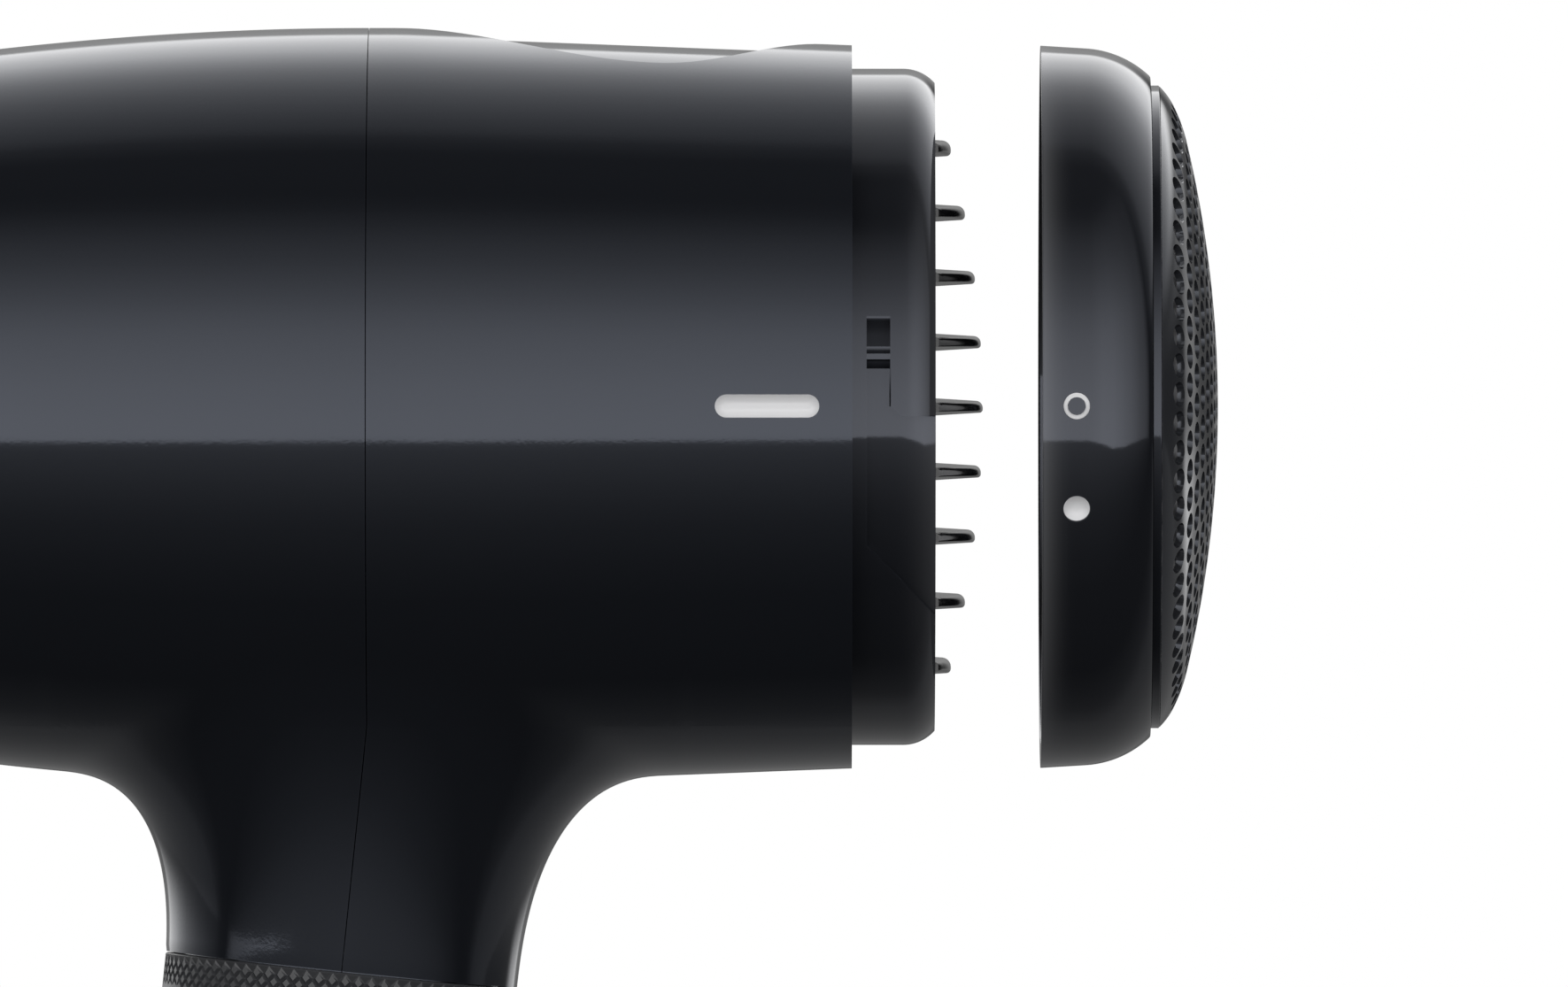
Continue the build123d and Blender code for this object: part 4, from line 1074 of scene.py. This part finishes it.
def diamond_sleeve():
    """The sleeve as one closed mesh: a lattice of grooves with a flat top in each diamond."""
    around = 2 * diamonds_round
    along = 2 * diamond_rows
    s0, s1 = sleeve_start + 0.15, handle_end - 0.15
    bm = bmesh.new()

    def is_plain(angle, s):
        in_frame = (abs(math.sin(angle)) * sleeve_r < window_half + plain_band and math.cos(angle) > 0
                    and window_s0 - plain_band < s < window_s1 + plain_band)
        return in_frame or s < s0 + plain_band or s > s1 - plain_band

    def vertex(column, row, r):
        angle = math.tau * column / around
        s = s0 + (s1 - s0) * row / along
        return bm.verts.new(Vector((r * math.cos(angle), r * math.sin(angle), s)) * MM)

    def ring(r, s):
        return [bm.verts.new(Vector((x, y, s)) * MM) for x, y in circle(0, 0, r, around)]

    lattice = {}
    for j in range(along + 1):
        for i in range(around):
            if (i + j) % 2 or j in (0, along):
                plain = is_plain(math.tau * i / around, s0 + (s1 - s0) * j / along)
                lattice[i, j] = vertex(i, j, sleeve_r if plain else sleeve_r - groove_depth)
    for j in range(1, along):
        for i in range(around):
            if (i + j) % 2 == 0:
                sides = (-1, 0), (0, -1), (1, 0), (0, 1)
                outer = [lattice[(i + a) % around, j + b] for a, b in sides]
                top = [vertex(i + a * 2 * diamond_top, j + b * 2 * diamond_top, sleeve_r) for a, b in sides]
                bm.faces.new(top)
                wall_between(bm, (outer, top))
    for j, inner in ((0, 1), (along, along - 1)):
        for i in range(0, around, 2):
            left, right = lattice[(i - 1) % around, j], lattice[(i + 1) % around, j]
            bm.faces.new((left, lattice[i, j], lattice[i, inner]))
            bm.faces.new((lattice[i, j], right, lattice[i, inner]))
    first_row, last_row = ([lattice[i, j] for i in range(around)] for j in (0, along))
    wall_between(bm, (
        first_row, ring(sleeve_r - 0.15, sleeve_start), ring(sleeve_bore_r, sleeve_start),
        ring(sleeve_bore_r, handle_end), ring(sleeve_r - 0.15, handle_end), last_row,
    ))
    return new_piece("grip_sleeve_rubber", bm)


sleeve = diamond_sleeve()
opening = rectangle(-window_half, window_half, window_s0, window_s1, 2.0)
boolean(sleeve, prism("opening", opening, along_x, 5, 30))
dress(in_handle(sleeve), rubber_finish, "housing", "grip", "grip_sleeve")


# ---------------- Switch panel
# A curved plate in the front of the sleeve, flush with it. It has a round hole for the button and a
# slot for the stem of each slider.
button_at, speed_at, heat_at = 78.0, 101.0, 123.0
button_r, slider_travel, stem_half_width, stem_half_length = 4.85, 8.0, 2.0, 2.5
panel_r, panel_bore_r, panel_gap, running_gap = 19.95, 18.3, 0.12, 0.3
handle_turn = axes_at_handle(down, (0, -1, 0), forwards)


def turned_in_handle(name, profile, segments=128):
    """A piece turned about the handle's axis from its (s, radius) section."""
    piece = turned(name, profile, segments)
    piece.data.transform(handle_turn)
    return piece


def handle_cut(piece, outline, operation="DIFFERENCE"):
    """Cuts a piece in the handle by an outline seen from the front, in (y, s)."""
    boolean(piece, in_handle(prism("tool", outline, along_x, 5, 30)), operation)


panel = turned_in_handle("switch_panel_plate", [
    (window_s0, panel_bore_r), (window_s0, panel_r), (window_s1, panel_r), (window_s1, panel_bore_r)], 256)
inner_half = window_half - panel_gap
panel_outline = rectangle(-inner_half, inner_half, window_s0 + panel_gap, window_s1 - panel_gap, 1.9)
handle_cut(panel, panel_outline, "INTERSECT")
handle_cut(panel, circle(0, button_at, button_r + running_gap, 64))
slot_half, slot_reach = stem_half_width + 0.3, stem_half_length + running_gap
for rest in (speed_at, heat_at):
    slot_s0, slot_s1 = rest - slider_travel - slot_reach, rest + slot_reach
    handle_cut(panel, rectangle(-slot_half, slot_half, slot_s0, slot_s1, 0.5, 4))
round_edges(panel, 0.15, 2, 50)
smooth(panel, 35)
panel_finish = plastic("satin_black_panel", (0.012, 0.013, 0.015), 0.16, (0.94, 0.98, 1.08), grain=0.3)
dress(panel, panel_finish, "housing", "panel", "switch_panel")


# ---------------- Sliders
# Two slide switches set the speed and the heat. Each has a ribbed thumb pad over the panel, a stem
# through its slot, and a flange under the panel that keeps it in.
pad_r0, pad_r1, pad_half, pad_half_width = 20.3, 22.5, 5.5, 6.0
thumb_rib_pitch, thumb_rib_half, thumb_groove, hollow = 2.75, 1.0, 1.0, 0.55
stem_r0, stem_r1, flange_r0, flange_r1 = 11.0, 20.8, 16.25, 17.4
flange_half_width, flange_half_length = 4.0, 3.5


def slider(name, rest):
    """A thumb pad with four ribs, the middle two lower, on its stem and flange."""
    ribs = []
    for n in (-1.5, -0.5, 0.5, 1.5):
        s = rest + n * thumb_rib_pitch
        r = pad_r1 - (hollow if abs(n) < 1 else 0.0)
        ribs += [(s - thumb_rib_half, r), (s + thumb_rib_half, r)]
        if n < 1.5:
            low = pad_r1 - thumb_groove
            ribs += [(s + thumb_rib_half + 0.05, low), (s + 1.7, low)]
    s0, s1 = rest - pad_half, rest + pad_half
    section = [(s0, pad_r0), (s0, pad_r1)] + ribs[1:-1] + [(s1, pad_r1), (s1, pad_r0)]
    pad = turned_in_handle(name, section, 256)
    handle_cut(pad, rectangle(-pad_half_width, pad_half_width, s0, s1, 1.2), "INTERSECT")
    round_edges(pad, 0.22, 3, 30)
    for r0, r1, width, length in ((stem_r0, stem_r1, stem_half_width, stem_half_length),
                                  (flange_r0, flange_r1, flange_half_width, flange_half_length)):
        block = prism("block", box_outline(r0, r1, -width, width), along_z, rest - length, rest + length)
        boolean(pad, in_handle(block), "UNION")
    smooth(pad, 35)
    return pad


knob_finish = plastic("satin_black_slider", (0.014, 0.015, 0.017), 0.22, (0.94, 0.98, 1.08), edge=2.2,
                      grain=0.4)
dress(slider("speed_slider", speed_at), knob_finish, "speed_knob", "knob", "speed_knob")
dress(slider("heat_slider", heat_at), knob_finish, "heat_knob", "knob", "heat_knob")


# ---------------- Cool-shot button
# A round push button with a dished top, a flange under the panel and a stem down to its spring.
top_r, dish_r, dish_depth = 21.6, 3.6, 0.45
button_profile = rounded([
    (12.3, 0.0), (12.3, 1.5, 0.2), (15.6, 1.5), (15.6, 6.0, 0.2), (16.88, 6.0, 0.2), (16.88, button_r),
    (top_r, button_r, 0.7),
])
button_profile += tangent_arc((top_r, dish_r), (-0.02, -1), (top_r - dish_depth, 0.0), 10)
button = turned("cool_shot_push_button", button_profile, 96)
to_front = Matrix.Translation(Vector((0, 0, button_at)) * MM)
button.data.transform(handle_frame @ to_front)
button_finish = plastic("satin_grey_button", (0.10, 0.105, 0.115), 0.25, grain=0.3)
dress(button, button_finish, "cool_shot_button", "button", "cool_shot_button")


# ---------------- End cap and gland
# A black cap plugs the bottom of the handle. A ribbed rubber gland leads the mains cord out of it.
end_cap = turned_in_handle("handle_end_cap", rounded([
    (146.0, 6.1), (146.0, 16.1, 0.4), (150.0, 16.1), (150.0, 19.95, 0.15), (152.8, 19.95, 0.6),
    (154.0, 18.8, 0.5), (154.0, 9.4, 0.2), (153.5, 9.2, 0.2), (153.5, 8.6, 0.2), (154.0, 8.4, 0.1),
    (154.0, 6.1),
]), 192)
dress(end_cap, collar_finish, "housing", "collar", "end_cap")
gland_bore_r, neck_r, gland_ribs, gland_pitch = 3.85, 5.95, 3, 1.25
gland_profile = [(147.05, gland_bore_r), (147.05, neck_r), (153.95, neck_r), (154.05, neck_r),
                 (154.05, 8.0, 0.3), (155.9, 7.9, 0.5)]
for n in range(gland_ribs):
    s, taper = 156.1 + gland_pitch * n, 0.1 * n
    gland_profile += [(s, neck_r - taper, 0.15), (s + 0.75, 5.9 - taper, 0.15), (s + 0.8, 5.0, 0.1),
                      (s + 1.2, 5.0, 0.1)]
gland_profile += [(159.9, 5.6, 0.4), (159.9, gland_bore_r, 0.2)]
gland = turned_in_handle("cord_gland_rubber", rounded(gland_profile), 96)
dress(gland, rubber_finish, "housing", "rubber", "cord_gland")


# ---------------- Outlet
# A black ring at the nose carries the seat that nozzles slide over. A grille of rings and spokes
# behind its face keeps fingers off the heater.
outlet = turned("outlet_seat_ring", rounded([
    (0.05, 25.7, 0.4), (0.05, 27.45, 0.8), (13.0, 27.45), (13.0, 31.95, 0.15), (13.95, 31.95, 0.15),
    (13.95, 29.5), (21.9, 29.5, 0.4), (21.9, 27.0), (16.05, 26.9), (16.05, 24.85, 0.1), (10.05, 24.85, 0.1),
    (10.05, 25.7),
]))
outlet_finish = plastic("satin_black_outlet", (0.010, 0.011, 0.013), 0.12, (0.92, 0.97, 1.12), edge=2.0,
                        grain=0.2)
dress(outlet, outlet_finish, "housing", "collar", "outlet_ring")

grille_x0, grille_x1, grille_r, bar_width, grille_rings, spoke_count = 8.05, 9.95, 25.55, 1.2, 4, 6
middle_r, spoke_r0, spoke_half = 2.4, 1.6, 0.6
bars = []
for n in range(grille_rings + 1):
    r = grille_r - n * (grille_r - middle_r) / grille_rings
    corners = ((grille_x0, r - bar_width), (grille_x0, r), (grille_x1, r), (grille_x1, r - bar_width))
    bars.append(turned("bar", rounded([(*corner, 0.35) for corner in corners]), 192))
spoke_outline = rectangle(grille_x0 + 0.1, grille_x1 - 0.1, spoke_r0, grille_r - 0.4, 0.2, 2)
for n in range(spoke_count):
    spoke = prism("spoke", spoke_outline, along_y, -spoke_half, spoke_half)
    round_edges(spoke, 0.25, 2, 50)
    smooth(spoke, 40)
    bars.append(turned_by(spoke, 360 / spoke_count * n))
grille_finish = plastic("black_grille", (0.011, 0.011, 0.012), 0.3)
dress(join("outlet_grille_bars", bars), grille_finish, "housing", "grille", "outlet_grille")


# ---------------- Inner pieces
# The heater, motor, fan, switches and fasteners keep their modelled shapes and take real finishes:
# mica, drawn wire, zinc-plated steel, bronze, rubber, black nylon and a green circuit board.
def speckled(name, colour, other, roughness, metallic=0.0, scale=900, bump=0.1):
    """A finish of two colours mixed by fine noise, with a slightly uneven surface."""
    material, tree, bsdf = new_finish(name)
    bsdf.inputs["Metallic"].default_value = metallic
    specks = noise(tree, scale, 4)
    tree.links.new(ramp(tree, specks, [(0.35, colour), (0.65, other)]), bsdf.inputs["Base Color"])
    rough = maths(tree, "ADD", maths(tree, "MULTIPLY", specks, 0.15), roughness - 0.07)
    tree.links.new(rough, bsdf.inputs["Roughness"])
    uneven = add_node(tree, "Bump")
    uneven.inputs["Distance"].default_value = 0.05 * MM
    uneven.inputs["Strength"].default_value = bump
    tree.links.new(specks, uneven.inputs["Height"])
    tree.links.new(uneven.outputs[0], bsdf.inputs["Normal"])
    return material


steel = speckled("zinc_plated_steel", (0.52, 0.52, 0.53), (0.66, 0.66, 0.67), 0.28, 1.0)
nylon = speckled("black_nylon", (0.022, 0.022, 0.024), (0.034, 0.034, 0.036), 0.42)
for finish, nodes in (
    (speckled("mica_sheet", (0.50, 0.40, 0.26), (0.66, 0.56, 0.40), 0.45, scale=400, bump=0.3),
     ("heater_liner", "heater_board_flat", "heater_board_upright")),
    (speckled("nichrome_wire", (0.33, 0.29, 0.26), (0.48, 0.44, 0.40), 0.35, 1.0), ("heating_coil",)),
    (steel, ("motor_body", "motor_shaft", "thermostat", "thermal_fuse", "clamp_screw_left",
             "clamp_screw_right", "shell_screw_upper", "shell_screw_lower")),
    (speckled("sintered_bronze", (0.42, 0.26, 0.11), (0.56, 0.36, 0.17), 0.4, 1.0),
     ("motor_bearing_front", "motor_bearing_rear", "fan_nut")),
    (speckled("damping_rubber", (0.016, 0.016, 0.016), (0.028, 0.028, 0.028), 0.6),
     ("motor_damper_front", "motor_damper_rear")),
    (nylon, ("fan_duct", "cool_shot_switch", "speed_switch", "heat_switch", "ion_module", "cord_clamp",
             "filter_frame")),
    (speckled("fan_nylon", (0.050, 0.052, 0.056), (0.070, 0.072, 0.076), 0.35), ("fan_impeller",)),
    (speckled("green_circuit_board", (0.010, 0.085, 0.035), (0.016, 0.120, 0.050), 0.3, scale=250),
     ("control_board",)),
    (speckled("stainless_filter_screen", (0.30, 0.30, 0.31), (0.42, 0.42, 0.43), 0.3, 1.0, scale=2500),
     ("filter_screen",)),
):
    for node in nodes:
        for slot in bpy.data.objects[node].material_slots:
            slot.material = finish


# ---------------- Button spring
# A small coil of plated spring wire round the button's stem. It stands on the switch.
spring_foot, spring_height, spring_r, wire_r, winds = 12.05, 3.48, 2.7, 0.25, 2.5
bpy.ops.mesh.primitive_circle_add(vertices=12, radius=wire_r * MM, location=(0, 0, 0))
spring = bpy.context.active_object
spring.name = "cool_shot_coil_spring"
spring.data.name = spring.name
quarter = math.radians(90)
spring.data.transform(Matrix.Translation((spring_r * MM, 0, 0)) @ Matrix.Rotation(quarter, 4, "X"))
winding = spring.modifiers.new("winding", "SCREW")
winding.angle = math.tau * winds
winding.screw_offset = (spring_height - 2 * wire_r) * MM
winding.steps = winding.render_steps = 90
winding.use_merge_vertices = False
apply_modifiers(spring)
bm = bmesh.new()
bm.from_mesh(spring.data)
bmesh.ops.holes_fill(bm, edges=[e for e in bm.edges if e.is_boundary])
bmesh.ops.recalc_face_normals(bm, faces=bm.faces)
bm.to_mesh(spring.data)
bm.free()
spring.data.transform(
    handle_frame @ Matrix.Translation(Vector((spring_foot + wire_r, 0, button_at)) * MM)
    @ Matrix.Rotation(quarter, 4, "Y"))
smooth(spring, 40)
dress(spring, steel, "housing", "steel", "cool_shot_spring")
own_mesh(spring)


# ---------------- Floor
# A wide pale floor just under the gland. Only the camera sees it, so it adds no light of its own.
floor_r, floor_centre = 1.6, Vector((100.0, 0, -160.6)) * MM
bpy.ops.mesh.primitive_circle_add(vertices=96, radius=floor_r, fill_type="NGON", location=(0, 0, 0))
floor = bpy.context.active_object
floor.name = "floor"
floor.data.transform(Matrix.Translation(floor_centre))
floor_finish, tree, bsdf = new_finish("pale_floor")
bsdf.inputs["Base Color"].default_value = (0.9, 0.9, 0.9, 1)
bsdf.inputs["Roughness"].default_value = 0.9
see_through = add_node(tree, "MixShader")
from_middle = add_node(tree, "VectorMath", operation="DISTANCE")
tree.links.new(add_node(tree, "TexCoord").outputs["Object"], from_middle.inputs[0])
from_middle.inputs[1].default_value = floor_centre
faded = maths(tree, "SUBTRACT", 1.0, soft_step(tree, from_middle.outputs["Value"], 0.25, floor_r))
seen = maths(tree, "MULTIPLY", add_node(tree, "LightPath").outputs["Is Camera Ray"], faded)
tree.links.new(seen, see_through.inputs[0])
tree.links.new(add_node(tree, "BsdfTransparent").outputs[0], see_through.inputs[1])
tree.links.new(bsdf.outputs[0], see_through.inputs[2])
tree.links.new(see_through.outputs[0], tree.nodes["Material Output"].inputs["Surface"])
floor.data.materials.append(floor_finish)
